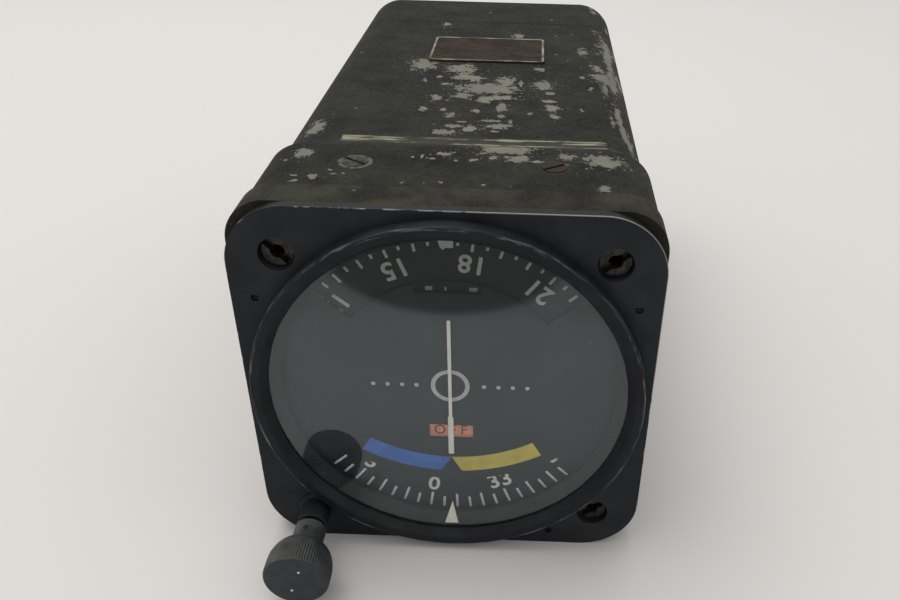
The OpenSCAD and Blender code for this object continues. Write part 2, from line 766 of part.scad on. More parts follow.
module front_plate() {
    y0 = front_plate_y0 - cut;
    y1 = front_plate_y1 + cut;
    color("#a3a49c") difference() {
        rod(front_plate_y0, front_plate_y1, front_plate_r);
        at(frame_post_places) rod(y0, y1, tenon_r + bond);
        at(mask_post_places) rod(y0, y1, mask_tenon_r + bond);
        at(meter_places) rod(y0, y1, arbor_r + run_clear);
        for (a = [28, 152, 208]) rotate([0, -a, 0]) rod(y0, y1, light_hole_r, light_hole_ring_r, 0);
        for (a = plate_screw_angles) rotate([0, -a, 0]) {
            rod(y0, y1, plate_screw_r + bond, plate_screw_ring_r, 0);
            rod(y0, front_plate_y0 + 0.8, plate_screw_head_r + bond, plate_screw_ring_r, 0);
        }
    }
}

module front_plate_screws() {
    color("#8d8d84") for (a = plate_screw_angles) rotate([0, -a, 0]) {
        rod(front_plate_y0 + 0.1, front_plate_y0 + 0.8, plate_screw_head_r, plate_screw_ring_r, 0);
        rod(front_plate_y0 + 0.6, rim_y, plate_screw_r, plate_screw_ring_r, 0);
    }
}

module card_bearing_ring() {
    color("#b79a55") turned([
        [bearing_r - bearing_wall, retain_y1], [bearing_r, retain_y1],
        [bearing_r, front_plate_y0], [bearing_r - bearing_wall, front_plate_y0]
    ]);
}

module card_retaining_ring() {
    color("#9b8446") turned([
        [bearing_r - bearing_wall, retain_y0], [bearing_r + retain_lip, retain_y0],
        [bearing_r + retain_lip, retain_y1], [bearing_r - bearing_wall, retain_y1]
    ]);
}

module frame_posts() {
    color("#9c9d96") at(frame_post_places) {
        rod(front_plate_y0, front_plate_y1 + cut, tenon_r);
        rod(front_plate_y1, rear_plate_y, post_r);
        rod(rear_plate_y - cut, rear_plate_y1, tenon_r);
    }
}

module rear_plate() {
    y0 = rear_plate_y - cut;
    y1 = rear_plate_y1 + cut;
    color("#a3a49c") difference() {
        slab(rear_plate_y, rear_plate_y1) rounded_square(rear_plate_half, 9);
        at(concat(frame_post_places, rear_post_places)) rod(y0, y1, tenon_r + bond);
        for (a = standoff_angles) rotate([0, -a, 0]) rod(y0, y1, tenon_r + bond, standoff_ring_r, 0);
        rod(y0, y1, shaft_r + run_clear, knob_x, knob_z);
        rod(y0, y1, stud_r - 0.4 + bond, idler_x, idler_z);
        rod(y0, y1, resolver_r);
    }
}

module rear_posts() {
    color("#9c9d96") at(rear_post_places) difference() {
        union() {
            rod(rear_plate_y, rear_plate_y1 + cut, tenon_r);
            rod(rear_plate_y1, cap_inner_y, post_r);
        }
        rod(cap_inner_y - cap_screw_hold - 1, cap_inner_y + cut, cap_screw_r + bond);
    }
}

module knob_bushing() {
    color("#2a2c2e") turned([
        [shaft_r + run_clear, -bushing_proud], [bushing_r - 0.3, -bushing_proud],
        [bushing_r, -bushing_proud + 0.3], [bushing_r, -shoulder_h], [shoulder_r, -shoulder_h + 0.4],
        [shoulder_r, 0], [bushing_r, 0], [bushing_r, face_t + nut_t], [shaft_r + run_clear, face_t + nut_t]
    ], knob_x, knob_z);
}

module bushing_nut() {
    color("#8e8a78") translate([knob_x, 0, knob_z]) difference() {
        slab(face_t, face_t + nut_t) circle(bushing_r + 2, $fn = 6);
        rod(face_t - cut, face_t + nut_t + cut, bushing_r + bond);
    }
}

module course_knob() {
    dome = [for (i = [0:10]) [
        sleeve_r + (knob_r - sleeve_r) * sin(9 * i), -dome_back - knob_dome * (1 - cos(9 * i))]];
    ridged = [for (i = [0:2 * knob_ridges - 1])
        polar(i % 2 == 0 ? knob_r : knob_r - ridge_d, 180 * i / knob_ridges)];
    bore = shaft_r + bond;
    bore_end = knob_reach - 4.5;
    color("#1f2123") translate([knob_x, 0, knob_z]) difference() {
        intersection() {
            turned(concat(
                [[bore, -sleeve_back], [sleeve_r - 0.2, -sleeve_back], [sleeve_r, -sleeve_back - 0.2]],
                dome,
                arc(knob_round, 0, -90, 6, knob_r - knob_round, -knob_reach + knob_round),
                [[0, -knob_reach], [0, -bore_end], [bore, -bore_end]]
            ));
            slab(-knob_reach - 1, -sleeve_back + 1) polygon(ridged);
        }
        at_set_screws() cylinder(h = sleeve_r + 1, r = set_screw_r + bond);
    }
}

set_screw_r = 0.75;

// Two radial places in the knob's sleeve, a quarter turn apart
module at_set_screws() {
    for (a = [0, 90]) translate([0, -(sleeve_back + dome_back) / 2, 0]) rotate([0, a, 0]) children();
}

module knob_set_screws() {
    color("#55575a") translate([knob_x, 0, knob_z]) at_set_screws() difference() {
        translate([0, 0, shaft_r + 0.05]) cylinder(h = sleeve_r - shaft_r - 0.25, r = set_screw_r);
        translate([0, 0, sleeve_r - 0.8]) cylinder(h = 1, r = 0.4, $fn = 6);
    }
}

module knob_shaft() {
    groove_y = rim_y + 0.3;
    color("#b4b5b0") turned([
        [0, -knob_reach + 4.8], [shaft_r, -knob_reach + 4.8], [shaft_r, groove_y],
        [shaft_r - 0.35, groove_y], [shaft_r - 0.35, groove_y + 0.6], [shaft_r, groove_y + 0.6],
        [shaft_r, shaft_end_y - 0.3], [shaft_r - 0.3, shaft_end_y], [0, shaft_end_y]
    ], knob_x, knob_z);
}

module shaft_clip() {
    clip_r = shaft_r - 0.35;
    color("#6f6f6a") translate([knob_x, 0, knob_z]) difference() {
        rod(rim_y + 0.35, rim_y + 0.85, shaft_r + 1.4);
        rod(rim_y, rim_y + 1, clip_r + bond);
        slab(rim_y, rim_y + 1) translate([-clip_r * 0.9, 0]) square([clip_r * 1.8, 6]);
    }
}

// A gear with a plain bore, between two stations along Y
module gear(y0, y1, teeth, m, steps, turn, bore) {
    difference() {
        slab(y0, y1) polygon(gear_outline(teeth, m, steps, turn));
        rod(y0 - cut, y1 + cut, bore);
    }
}

module knob_pinion() {
    turn = knob_dir + 180 + 180 / knob_teeth;
    color("#c0a250") translate([knob_x, 0, knob_z])
        gear(gear_y0, gear_y1, knob_teeth, card_module, 4, turn, shaft_r + bond);
}

module card_gear() {
    color("#bb9c4e") difference() {
        gear(gear_y0, gear_y1, card_teeth, card_module, 2, knob_dir, bearing_r + run_clear);
        rod(gear_y0 - cut, retain_y1 + 0.2, bearing_r + retain_lip + 0.3);
    }
}

module course_card() {
    color("#1b1d1f") difference() {
        rod(card_y0, gear_y0, card_r);
        rod(card_y0 - cut, gear_y0 + cut, card_inner_r);
    }
}

module rear_pinion() {
    color("#c0a250") translate([knob_x, 0, knob_z]) {
        gear(rear_gear_y, rear_gear_y1, rear_teeth, rear_module, 4, knob_dir + 180, shaft_r + bond);
    }
}

module idler_stud() {
    collar_r = stud_r + 1;
    collar_y = rear_gear_y1 + 0.3;
    color("#8e8f88") turned([
        [0, rear_plate_y], [stud_r - 0.4, rear_plate_y], [stud_r - 0.4, rear_plate_y1],
        [collar_r, rear_plate_y1], [collar_r, rear_gear_y - 0.3], [stud_r, rear_gear_y - 0.3],
        [stud_r, collar_y], [collar_r, collar_y], [collar_r, collar_y + 0.6], [0, collar_y + 0.6]
    ], idler_x, idler_z);
}

module idler_gear() {
    turn = knob_dir + 180 / idler_teeth;
    color("#c0a250") translate([idler_x, 0, idler_z])
        gear(rear_gear_y, rear_gear_y1, idler_teeth, rear_module, 4, turn, stud_r + run_clear);
}

module resolver_gear() {
    web_y0 = rear_gear_y + 0.2;
    web_y1 = rear_gear_y1 - 0.2;
    bore = shaft_r + bond;
    color("#bb9c4e") difference() {
        union() {
            gear(web_y0, web_y1, resolver_teeth, rear_module, 2, knob_dir, bore);
            turned([
                [bore, web_y1 - cut], [hub_r, web_y1 - cut],
                [hub_r, web_y1 + hub_len], [bore, web_y1 + hub_len]
            ]);
        }
        for (a = [0:60:300]) rotate([0, a, 0]) rod(rear_gear_y, rear_gear_y1, 4.4, 14, 0);
    }
}

module resolver_shaft() {
    color("#b4b5b0") rod(rear_gear_y - 0.3, resolver_y + 3, shaft_r);
}

module resolver_standoffs() {
    color("#9c9d96") for (a = standoff_angles) rotate([0, -a, 0]) {
        rod(rear_plate_y, rear_plate_y1 + cut, tenon_r, standoff_ring_r, 0);
        rod(rear_plate_y1, resolver_plate_y, standoff_r, standoff_ring_r, 0);
        rod(resolver_plate_y - cut, resolver_y, tenon_r, standoff_ring_r, 0);
    }
}

pilot_r = resolver_r - 3.5;
lug_r = resolver_r + 1.5;
lug_t = 1.5;
cleat_screw_r = 1;
cleat_screw_ring_r = lug_r + 2.6;
cleat_grip = 1;
cleat_t = 1.1;

module resolver_plate() {
    color("#a3a49c") difference() {
        rod(resolver_plate_y, resolver_y, standoff_ring_r + resolver_plate_rim);
        rod(resolver_plate_y - cut, resolver_y + cut, pilot_r + bond);
        for (a = standoff_angles) rotate([0, -a, 0]) {
            rod(resolver_plate_y - cut, resolver_y + cut, tenon_r + bond, standoff_ring_r, 0);
            rod(resolver_plate_y - cut, resolver_y + cut, cleat_screw_r + bond, cleat_screw_ring_r, 0);
        }
        for (a = [0, 120, 240]) rotate([0, -a, 0])
            rod(resolver_plate_y - cut, resolver_y + cut, resolver_hole_r, standoff_ring_r - 6, 0);
    }
}

module resolver_body() {
    body_y1 = resolver_y + resolver_len;
    pilot_y = resolver_plate_y + 0.5;
    bore = shaft_r + run_clear;
    color("#85867f") {
        turned([
            [bore, pilot_y], [pilot_r, pilot_y], [pilot_r, resolver_y],
            [lug_r, resolver_y], [lug_r, resolver_y + lug_t], [resolver_r, resolver_y + lug_t],
            [resolver_r, body_y1 - 0.8], [resolver_r - 0.8, body_y1], [0, body_y1],
            [0, resolver_y + 3.4], [bore, resolver_y + 3.4]
        ]);
        for (a = [0:60:300]) rotate([0, a, 0]) rod(body_y1 - cut, body_y1 + 3, 0.6, resolver_r * 0.6, 0);
    }
}

module resolver_cleats() {
    cleat_w = 4 * cleat_screw_r;
    cleat_h = lug_t + cleat_t;
    cleat_len = cleat_screw_ring_r - lug_r + cleat_grip + cleat_w / 2;
    color("#6f6f6a") for (a = standoff_angles) rotate([0, -a, 0]) {
        difference() {
            translate([lug_r - cleat_grip, resolver_y, -cleat_w / 2]) cube([cleat_len, cleat_h, cleat_w]);
            translate([lug_r - cleat_grip - cut, resolver_y - cut, -cleat_w / 2 - cut])
                cube([cleat_grip + slide_fit + cut, lug_t + slide_fit + cut, cleat_w + 2 * cut]);
        }
        rod(resolver_plate_y, resolver_y + cut, cleat_screw_r, cleat_screw_ring_r, 0);
        head_y = resolver_y + cleat_h;
        rod(head_y - cut, head_y + 1, 1.7 * cleat_screw_r, cleat_screw_ring_r, 0);
    }
}

// Pivot places of the needle, the OFF flag and the to and from flag
needle_place = [0, pivot_z];
off_pivot_x = sqrt(pow(card_inner_r, 2) - pow(flag_window_z, 2)) - off_pivot_inset;
off_place = [off_pivot_x, -flag_window_z];
tofrom_place = [0, -tofrom_pivot_z];
meter_places = [needle_place, off_place, tofrom_place];
rotor_gap = 0.8;
coil_share = 0.42;
coil_front = front_plate_y1 + 1.3;

// A drawn cup behind the front plate, with the rear bearing in its back
module meter_cup(place, r, len) {
    back = front_plate_y1 + len;
    in_r = r - cup_wall;
    bore = arbor_r + run_clear;
    turned([
        [bore, back - cup_wall], [in_r, back - cup_wall], [in_r, front_plate_y1], [r, front_plate_y1],
        [r, back - 0.6], [r - 0.6, back], [bore, back]
    ], place[0], place[1]);
}

// A wound bobbin that fills its cup and leaves room for the magnet
module meter_coil(place, r, len) {
    out_r = r - cup_wall - bond;
    in_r = r * coil_share;
    back = front_plate_y1 + len - cup_wall - 1;
    turned([
        [in_r, coil_front], [out_r, coil_front], [out_r, coil_front + 0.8], [out_r - 0.9, coil_front + 0.8],
        [out_r - 0.9, back - 0.8], [out_r, back - 0.8], [out_r, back], [in_r, back]
    ], place[0], place[1]);
}

// An arbor that carries a round magnet inside the bobbin, with its front end as given
module meter_rotor(place, r, len, nose) {
    magnet_r = r * coil_share - rotor_gap;
    magnet_y0 = coil_front + 0.6;
    back = front_plate_y1 + len;
    magnet_y1 = back - cup_wall - 1.6;
    turned(concat(nose, [
        [arbor_r, magnet_y0], [magnet_r, magnet_y0], [magnet_r, magnet_y1],
        [arbor_r, magnet_y1], [arbor_r, back - 0.1], [0, back - 0.1]
    ]), place[0], place[1]);
}

module needle_cup() {
    color("#6b6d68") meter_cup(needle_place, needle_cup_r, needle_cup_len);
}

module needle_coil() {
    color("#9a5a34") meter_coil(needle_place, needle_cup_r, needle_cup_len);
}

module needle_rotor() {
    needle_y1 = needle_y0 + needle_t;
    shoulder_y = mask_y1 + 0.3;
    color("#8f9090") meter_rotor(needle_place, needle_cup_r, needle_cup_len, [
        [0, needle_y1], [needle_arbor_r, needle_y1], [needle_arbor_r, shoulder_y], [arbor_r, shoulder_y]
    ]);
}

// A flat spiral of thin strip round the needle's arbor, its outer end on a stud
module needle_hairspring() {
    turns = 3;
    in_r = arbor_r + 0.1;
    pitch = 0.8;
    strip = 0.12;
    steps = turns * 24;
    y0 = front_plate_y1 + 0.5;
    color("#b08d48") translate([0, 0, pivot_z]) {
        slab(y0, y0 + 0.4) polygon(concat(
            [for (i = [0:steps]) polar(in_r + pitch * i / 24, 15 * i)],
            [for (i = [steps:-1:0]) polar(in_r + strip + pitch * i / 24, 15 * i)]
        ));
        translate([in_r + pitch * turns + 0.35, 0, 0]) rod(front_plate_y1, y0 + 0.6, 0.35);
    }
}

module deviation_needle() {
    color("#dcdccf") {
        slab(needle_y0, needle_y0 + needle_t) translate([0, pivot_z]) {
            translate([-needle_w / 2, -needle_len]) square([needle_w, needle_len + needle_tail]);
            translate([-needle_tip_w / 2, -needle_len]) square([needle_tip_w, needle_wide_len]);
        }
    }
}

module off_cup() {
    color("#6b6d68") meter_cup(off_place, flag_cup_r, flag_cup_len);
}

module off_coil() {
    color("#9a5a34") meter_coil(off_place, flag_cup_r, flag_cup_len);
}

module off_rotor() {
    nose = [[0, off_y0], [arbor_r, off_y0]];
    color("#8f9090") meter_rotor(off_place, flag_cup_r, flag_cup_len, nose);
}

// The flag's blade fills its window, and an arm carries it from the pivot
module off_flag() {
    blade_x = flag_window_x + 0.35;
    blade_z = flag_window_h / 2 + 0.35;
    color("#c4745c") difference() {
        union() {
            slab(off_y0, off_y0 + flag_t) {
                translate([-blade_x, -flag_window_z - blade_z]) square([2 * blade_x, 2 * blade_z]);
                translate([blade_x - cut, -flag_window_z - 0.6]) square([off_pivot_x - blade_x, 1.2]);
                translate(off_place) circle(1.5);
            }
            rod(off_y0, off_y0 + 1.4, 1.2, off_place[0], off_place[1]);
        }
        rod(off_y0 - cut, off_y0 + 1.4 + cut, arbor_r + bond, off_place[0], off_place[1]);
    }
}

module tofrom_cup() {
    color("#6b6d68") meter_cup(tofrom_place, flag_cup_r, flag_cup_len);
}

module tofrom_coil() {
    color("#9a5a34") meter_coil(tofrom_place, flag_cup_r, flag_cup_len);
}

module tofrom_rotor() {
    nose = [[0, tofrom_y0], [arbor_r, tofrom_y0]];
    color("#8f9090") meter_rotor(tofrom_place, flag_cup_r, flag_cup_len, nose);
}

// A forked arm that clears the needle's arbor and carries a curved vane
module tofrom_flag() {
    reach = slot_z + tofrom_pivot_z;
    vane_angle = 26;
    vane_half = slot_h / 2 + 0.2;
    arms = [vane_angle - 2, 2 - vane_angle];
    color("#b9b9ad") difference() {
        union() {
            slab(tofrom_y0, tofrom_y0 + flag_t) translate(tofrom_place) {
                polygon(concat(
                    arc(reach + vane_half, 90 - vane_angle, 90 + vane_angle, 16),
                    arc(reach - vane_half, 90 + vane_angle, 90 - vane_angle, 16)
                ));
                for (a = arms) rotate(a) translate([-0.5, 0]) square([1, reach]);
                circle(1.7);
            }
            translate([0, 0, -tofrom_pivot_z]) rod(tofrom_y0, tofrom_y0 + 1.4, 1.3);
        }
        rod(tofrom_y0 - cut, tofrom_y0 + 1.4 + cut, arbor_r + bond, 0, -tofrom_pivot_z);
    }
}

face_plate();
face_screws();
bezel_ring();
cover_glass();
index_ring();
course_pointer();
reciprocal_mark();
front_casting();
mounting_inserts();
case_cover();
cover_screws();
data_plate();
rear_cap();
cap_screws();
connector_shell();
connector_insert();
connector_contacts();
connector_screws();
dial_mask();
mask_posts();
front_plate();
front_plate_screws();
card_bearing_ring();
card_retaining_ring();
frame_posts();
rear_plate();
rear_posts();
knob_bushing();
bushing_nut();
course_knob();
knob_set_screws();
knob_shaft();
knob_pinion();
shaft_clip();
rear_pinion();
course_card();
card_gear();
idler_stud();
idler_gear();
resolver_standoffs();
resolver_plate();
resolver_body();
resolver_cleats();
resolver_shaft();
resolver_gear();
needle_cup();
needle_coil();
needle_rotor();
needle_hairspring();
deviation_needle();
off_cup();
off_coil();
off_rotor();
off_flag();
tofrom_cup();
tofrom_coil();
tofrom_rotor();
tofrom_flag();
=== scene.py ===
"""Looks of the course deviation indicator: finishes, wear, dial printing, lights and camera.

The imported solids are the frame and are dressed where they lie. The printed marks, the letters, the knob's
dots and the data plate's border are made here. Sizes are in millimetres until a mesh is placed.
"""
from __future__ import annotations

import logging
import math
from dataclasses import dataclass
from enum import Enum
from functools import cached_property

import bmesh
import bpy
from mathutils import Matrix, Vector


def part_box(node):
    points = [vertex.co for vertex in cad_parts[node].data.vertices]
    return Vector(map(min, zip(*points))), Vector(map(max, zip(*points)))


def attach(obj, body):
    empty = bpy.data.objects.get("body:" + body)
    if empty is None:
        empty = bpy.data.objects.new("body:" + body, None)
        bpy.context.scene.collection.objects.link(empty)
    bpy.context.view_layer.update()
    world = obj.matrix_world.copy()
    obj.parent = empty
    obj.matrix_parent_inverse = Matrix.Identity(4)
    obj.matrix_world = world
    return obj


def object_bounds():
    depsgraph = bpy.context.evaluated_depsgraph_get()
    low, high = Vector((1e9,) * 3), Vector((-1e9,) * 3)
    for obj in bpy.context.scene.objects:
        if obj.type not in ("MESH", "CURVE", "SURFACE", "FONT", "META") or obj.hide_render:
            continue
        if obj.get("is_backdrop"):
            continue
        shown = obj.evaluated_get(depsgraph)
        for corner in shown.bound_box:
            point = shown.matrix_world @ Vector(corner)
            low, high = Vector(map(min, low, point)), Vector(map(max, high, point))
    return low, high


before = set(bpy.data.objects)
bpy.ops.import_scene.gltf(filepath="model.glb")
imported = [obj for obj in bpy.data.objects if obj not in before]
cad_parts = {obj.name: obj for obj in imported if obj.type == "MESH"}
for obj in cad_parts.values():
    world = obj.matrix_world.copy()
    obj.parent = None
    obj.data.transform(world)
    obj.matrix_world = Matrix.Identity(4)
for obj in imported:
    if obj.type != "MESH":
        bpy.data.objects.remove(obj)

Socket = bpy.types.NodeSocket
Material = bpy.types.Material
Shape = bmesh.types.BMesh
Triple = tuple[float, float, float]
Pair = tuple[float, float]

MM = 0.001
FAR_AWAY = 1000.0
DUST = "#8d8a80"
ROUND_STEPS = 64
log = logging.getLogger("indicator")


class Body(Enum):
    """The bodies that a new piece rides on."""

    ROOT = "root"
    KNOB = "knob"
    CARD = "card"
    OFF = "off_indicator"
    TOFROM = "tofrom_indicator"


def linear(hex_colour: str, share: float = 1.0) -> tuple[float, float, float, float]:
    """Turn an sRGB hex value into linear RGBA.

    Args:
        hex_colour: Six hex digits after a hash sign.
        share: Share of the colour's brightness that is kept.

    Returns:
        Red, green, blue and an alpha of one.
    """
    parts = [int(hex_colour[i:i + 2], 16) / 255 for i in (1, 3, 5)]
    bent = [p / 12.92 if p <= 0.04045 else ((p + 0.055) / 1.055) ** 2.4 for p in parts]
    return (*(share * p for p in bent), 1.0)


def per_mm(size_mm: float) -> float:
    """Scale of a pattern on millimetre coordinates whose features are this wide."""
    return 1 / size_mm


class Graph:
    """The nodes of one new material, with patterns measured in millimetres.

    Attributes:
        material: The material.
        tree: Its node tree.
    """

    def __init__(self, name: str) -> None:
        """Start a material with no nodes.

        Args:
            name: What the finish is.
        """
        self.material = bpy.data.materials.new(name)
        self.material.use_nodes = True
        self.tree = self.material.node_tree
        self.tree.nodes.clear()

    @cached_property
    def place(self) -> Socket:
        """Object coordinates, turned from metres to millimetres."""
        spot = self.add("TexCoord", output=3)
        return self.add("VectorMath SCALE", spot, named={"Scale": 1 / MM})

    @cached_property
    def axes(self) -> bpy.types.bpy_prop_collection:
        """The place's X, Y and Z, each as a socket."""
        return self.add("SeparateXYZ", self.place).node.outputs

    def add(
        self, kind: str, *inputs: Socket | float | tuple, output: int = 0, named: dict | None = None,
        **settings
    ) -> Socket:
        """Add one node with its settings, values and links.

        Args:
            kind: Type of the node, without its ShaderNode prefix, and its operation where it has one.
            *inputs: A value or a linked socket for each of the first inputs.
            output: Number of the output that is wanted.
            named: A value or a linked socket for other inputs, by name or number.
            **settings: Properties of the node.

        Returns:
            The wanted output socket.
        """
        kind, *operation = kind.split()
        node = self.tree.nodes.new("ShaderNode" + kind)
        if operation:
            node.operation = operation[0]
        for name, value in settings.items():
            setattr(node, name, value)
        for key, value in {**dict(enumerate(inputs)), **(named or {})}.items():
            if isinstance(value, Socket):
                self.tree.links.new(value, node.inputs[key])
            else:
                node.inputs[key].default_value = value
        return node.outputs[output]

    def close(self, shader: Socket) -> Material:
        """Link a shader to the material's output.

        Args:
            shader: The shader.

        Returns:
            The finished material.
        """
        output = self.tree.nodes.new("ShaderNodeOutputMaterial")
        self.tree.links.new(shader, output.inputs["Surface"])
        return self.material

    def ramp(self, value: Socket, start: float, end: float, low: float = 0.0, high: float = 1.0) -> Socket:
        """A smooth step of a value from start to end, between low and high.

        Args:
            value: What is measured.
            start: Where the step begins.
            end: Where the step ends, which may lie below its start.
            low: Result at the start.
            high: Result at the end.

        Returns:
            The stepped value.
        """
        if start > end:
            start, end, low, high = end, start, high, low
        limits = {"From Min": start, "From Max": end, "To Min": low, "To Max": high}
        return self.add("MapRange", value, named=limits, interpolation_type="SMOOTHSTEP")

    def blotches(
        self, size_mm: float, detail: float = 3.0, rough: float = 0.5, stretch: Triple = (1, 1, 1),
        place: Socket | None = None, output: int = 0
    ) -> Socket:
        """Soft noise of a real size.

        Args:
            size_mm: Width of a blotch.
            detail: Octaves of finer noise.
            rough: Strength of the finer noise.
            stretch: How many times longer a blotch is along each axis.
            place: Coordinates in millimetres, where they aren't the object's own.
            output: Zero for one value, one for three that differ.

        Returns:
            Noise about one half.
        """
        place = place or self.place
        if stretch != (1, 1, 1):
            place = self.add("VectorMath MULTIPLY", place, tuple(1 / s for s in stretch))
        named = {"Vector": place, "Scale": per_mm(size_mm), "Detail": detail, "Roughness": rough}
        return self.add("TexNoise", output=output, named=named)

    def specks(self, apart_mm: float, place: Socket, full: float, gone: float) -> Socket:
        """Small round specks strewn at random.

        Args:
            apart_mm: How far apart they lie.
            place: Coordinates in millimetres.
            full: Share of that distance inside which a speck is full.
            gone: Share of that distance past which it is gone.

        Returns:
            One in a speck and zero outside.
        """
        grit = self.add("TexVoronoi", named={"Vector": place, "Scale": per_mm(apart_mm), "Randomness": 1.0})
        return self.ramp(grit, gone, full)

    def warped(self, size_mm: float, reach_mm: float) -> Socket:
        """Coordinates pushed about by noise, so that outlines on them turn ragged.

        Args:
            size_mm: Width of the waves.
            reach_mm: How far a point moves at most.

        Returns:
            The moved coordinates.
        """
        waves = self.blotches(size_mm, 4, 0.6, output=1)
        centred = self.add("VectorMath SUBTRACT", waves, (0.5, 0.5, 0.5))
        push = self.add("VectorMath SCALE", centred, named={"Scale": 2 * reach_mm})
        return self.add("VectorMath ADD", self.place, push)

    def apart(self, value: Socket, middle: float) -> Socket:
        """How far a value lies from a middle, to either side."""
        return self.add("Math ABSOLUTE", self.add("Math SUBTRACT", value, middle))

    def product(self, *factors: Socket | float) -> Socket:
        """Several masks multiplied together.

        Args:
            *factors: The masks, the first of them a socket.

        Returns:
            Their product.
        """
        result = factors[0]
        for factor in factors[1:]:
            result = self.add("Math MULTIPLY", result, factor)
        return result

    def highest(self, *masks: Socket) -> Socket:
        """The highest of several masks.

        Args:
            *masks: The masks.

        Returns:
            The highest at each point.
        """
        result = masks[0]
        for mask in masks[1:]:
            result = self.add("Math MAXIMUM", result, mask)
        return result

    def blend(self, factor: Socket | float, under: Socket | tuple, over: Socket | tuple) -> Socket:
        """Lay one colour over another.

        Args:
            factor: How much of the upper colour shows.
            under: Colour below.
            over: Colour above.

        Returns:
            The mixed colour.
        """
        return self.add("Mix", factor, named={6: under, 7: over}, output=2, data_type="RGBA")

    def square_edge(self, half: float, corner: float) -> Socket:
        """How far a point lies outside a rounded square in X and Z, in millimetres.

        Args:
            half: Half the square's width.
            corner: Its corner radius.

        Returns:
            The distance, below zero inside.
        """
        inner = half - corner
        folded = self.add("VectorMath ABSOLUTE", self.place)
        past = self.add("VectorMath SUBTRACT", folded, (inner, 0, inner))
        flat = self.add("VectorMath MULTIPLY", past, (1, 0, 1))
        outside = self.add("VectorMath MAXIMUM", flat, (0, 0, 0))
        length = self.add("VectorMath LENGTH", outside, output=1)
        return self.add("Math SUBTRACT", length, corner)


@dataclass(frozen=True)
class Surface:
    """A finish whose colour drifts between two tones, with a fine grain and dust on what faces up.

    Attributes:
        name: What the real finish is.
        dark: Darker tone.
        light: Lighter tone.
        roughness: Middle roughness.
        metallic: One for bare metal.
        spread: How far the roughness strays to each side.
        blotch_mm: Width of the drift between the tones.
        grain_mm: Width of the grain.
        grain_depth: Height of the grain in millimetres.
        stretch: How many times longer the drift and the grain are along each axis.
        dust: Share of dust on what faces up.
        bare: Colour under the finish, where wear shows it.
        bare_dull: Brightness of that colour's duller tone, as a share of its own.
        bare_roughness: Roughness there.
        bare_metallic: Metallic value there.
        film_depth: Thickness of the worn film in millimetres.
        specular: Strength of the gloss, one half for a clean skin.
    """

    name: str
    dark: str
    light: str
    roughness: float
    metallic: float = 0.0
    spread: float = 0.08
    blotch_mm: float = 6.0
    grain_mm: float = 0.35
    grain_depth: float = 0.012
    stretch: Triple = (1, 1, 1)
    dust: float = 0.0
    bare: str = "#9a9a94"
    bare_dull: float = 0.8
    bare_roughness: float = 0.6
    bare_metallic: float = 0.0
    film_depth: float = 0.05
    specular: float = 0.5

    def wear(self, graph: Graph) -> Socket | None:
        """Mask of what is worn through, or None for a whole finish."""
        return None

    def stains(self, graph: Graph, colour: Socket) -> Socket:
        """Marks laid over the finished colour."""
        return colour

    def build(self) -> Material:
        """Make the material.

        Returns:
            The finished material.
        """
        graph = Graph(self.name)
        drift = graph.ramp(graph.blotches(self.blotch_mm, 4, 0.55, self.stretch), 0.32, 0.68)
        colour = graph.blend(drift, linear(self.dark), linear(self.light))
        grain = graph.blotches(self.grain_mm, 2, 0.5, self.stretch)
        height = graph.product(grain, self.grain_depth)
        roughness = graph.ramp(grain, 0.25, 0.75, self.roughness - self.spread, self.roughness + self.spread)
        metallic: Socket | float = self.metallic
        worn = self.wear(graph)
        if worn is not None:
            shade = graph.blend(drift, linear(self.bare), linear(self.bare, self.bare_dull))
            colour = graph.blend(worn, colour, shade)
            roughness = graph.add("Mix", worn, named={2: roughness, 3: self.bare_roughness})
            if self.bare_metallic != self.metallic:
                metallic = graph.add("Mix", worn, named={2: self.metallic, 3: self.bare_metallic})
            sunk = graph.product(worn, -self.film_depth)
            height = graph.add("Math ADD", height, sunk)
        colour = self.stains(graph, colour)
        if self.dust:
            normal = graph.add("TexCoord", output=1)
            faces_up = graph.ramp(graph.add("SeparateXYZ", normal, output=2), 0.25, 0.95)
            lies = graph.ramp(graph.blotches(9, 5, 0.7), 0.3, 0.75)
            colour = graph.blend(graph.product(faces_up, lies, self.dust), colour, linear(DUST))
        skin = {
            "Base Color": colour, "Roughness": roughness, "Metallic": metallic,
            "Normal": graph.add("Bump", named={"Height": height, "Distance": MM, "Strength": 1.0}),
            "Specular IOR Level": self.specular,
        }
        return graph.close(graph.add("BsdfPrincipled", named=skin))


@dataclass(frozen=True)
class Ink(Surface):
    """Screened ink: dull, thin and nearly smooth."""

    roughness: float = 0.7
    blotch_mm: float = 1.2
    grain_mm: float = 0.1
    grain_depth: float = 0.002


@dataclass(frozen=True)
class Metal(Surface):
    """Bare metal with faint tool marks."""

    metallic: float = 1.0
    grain_depth: float = 0.003


@dataclass(frozen=True)
class Chip:
    """A patch of lost paint on the top of the case, its middle and half widths in X and Y."""

    x: float
    y: float
    wide: float
    deep: float


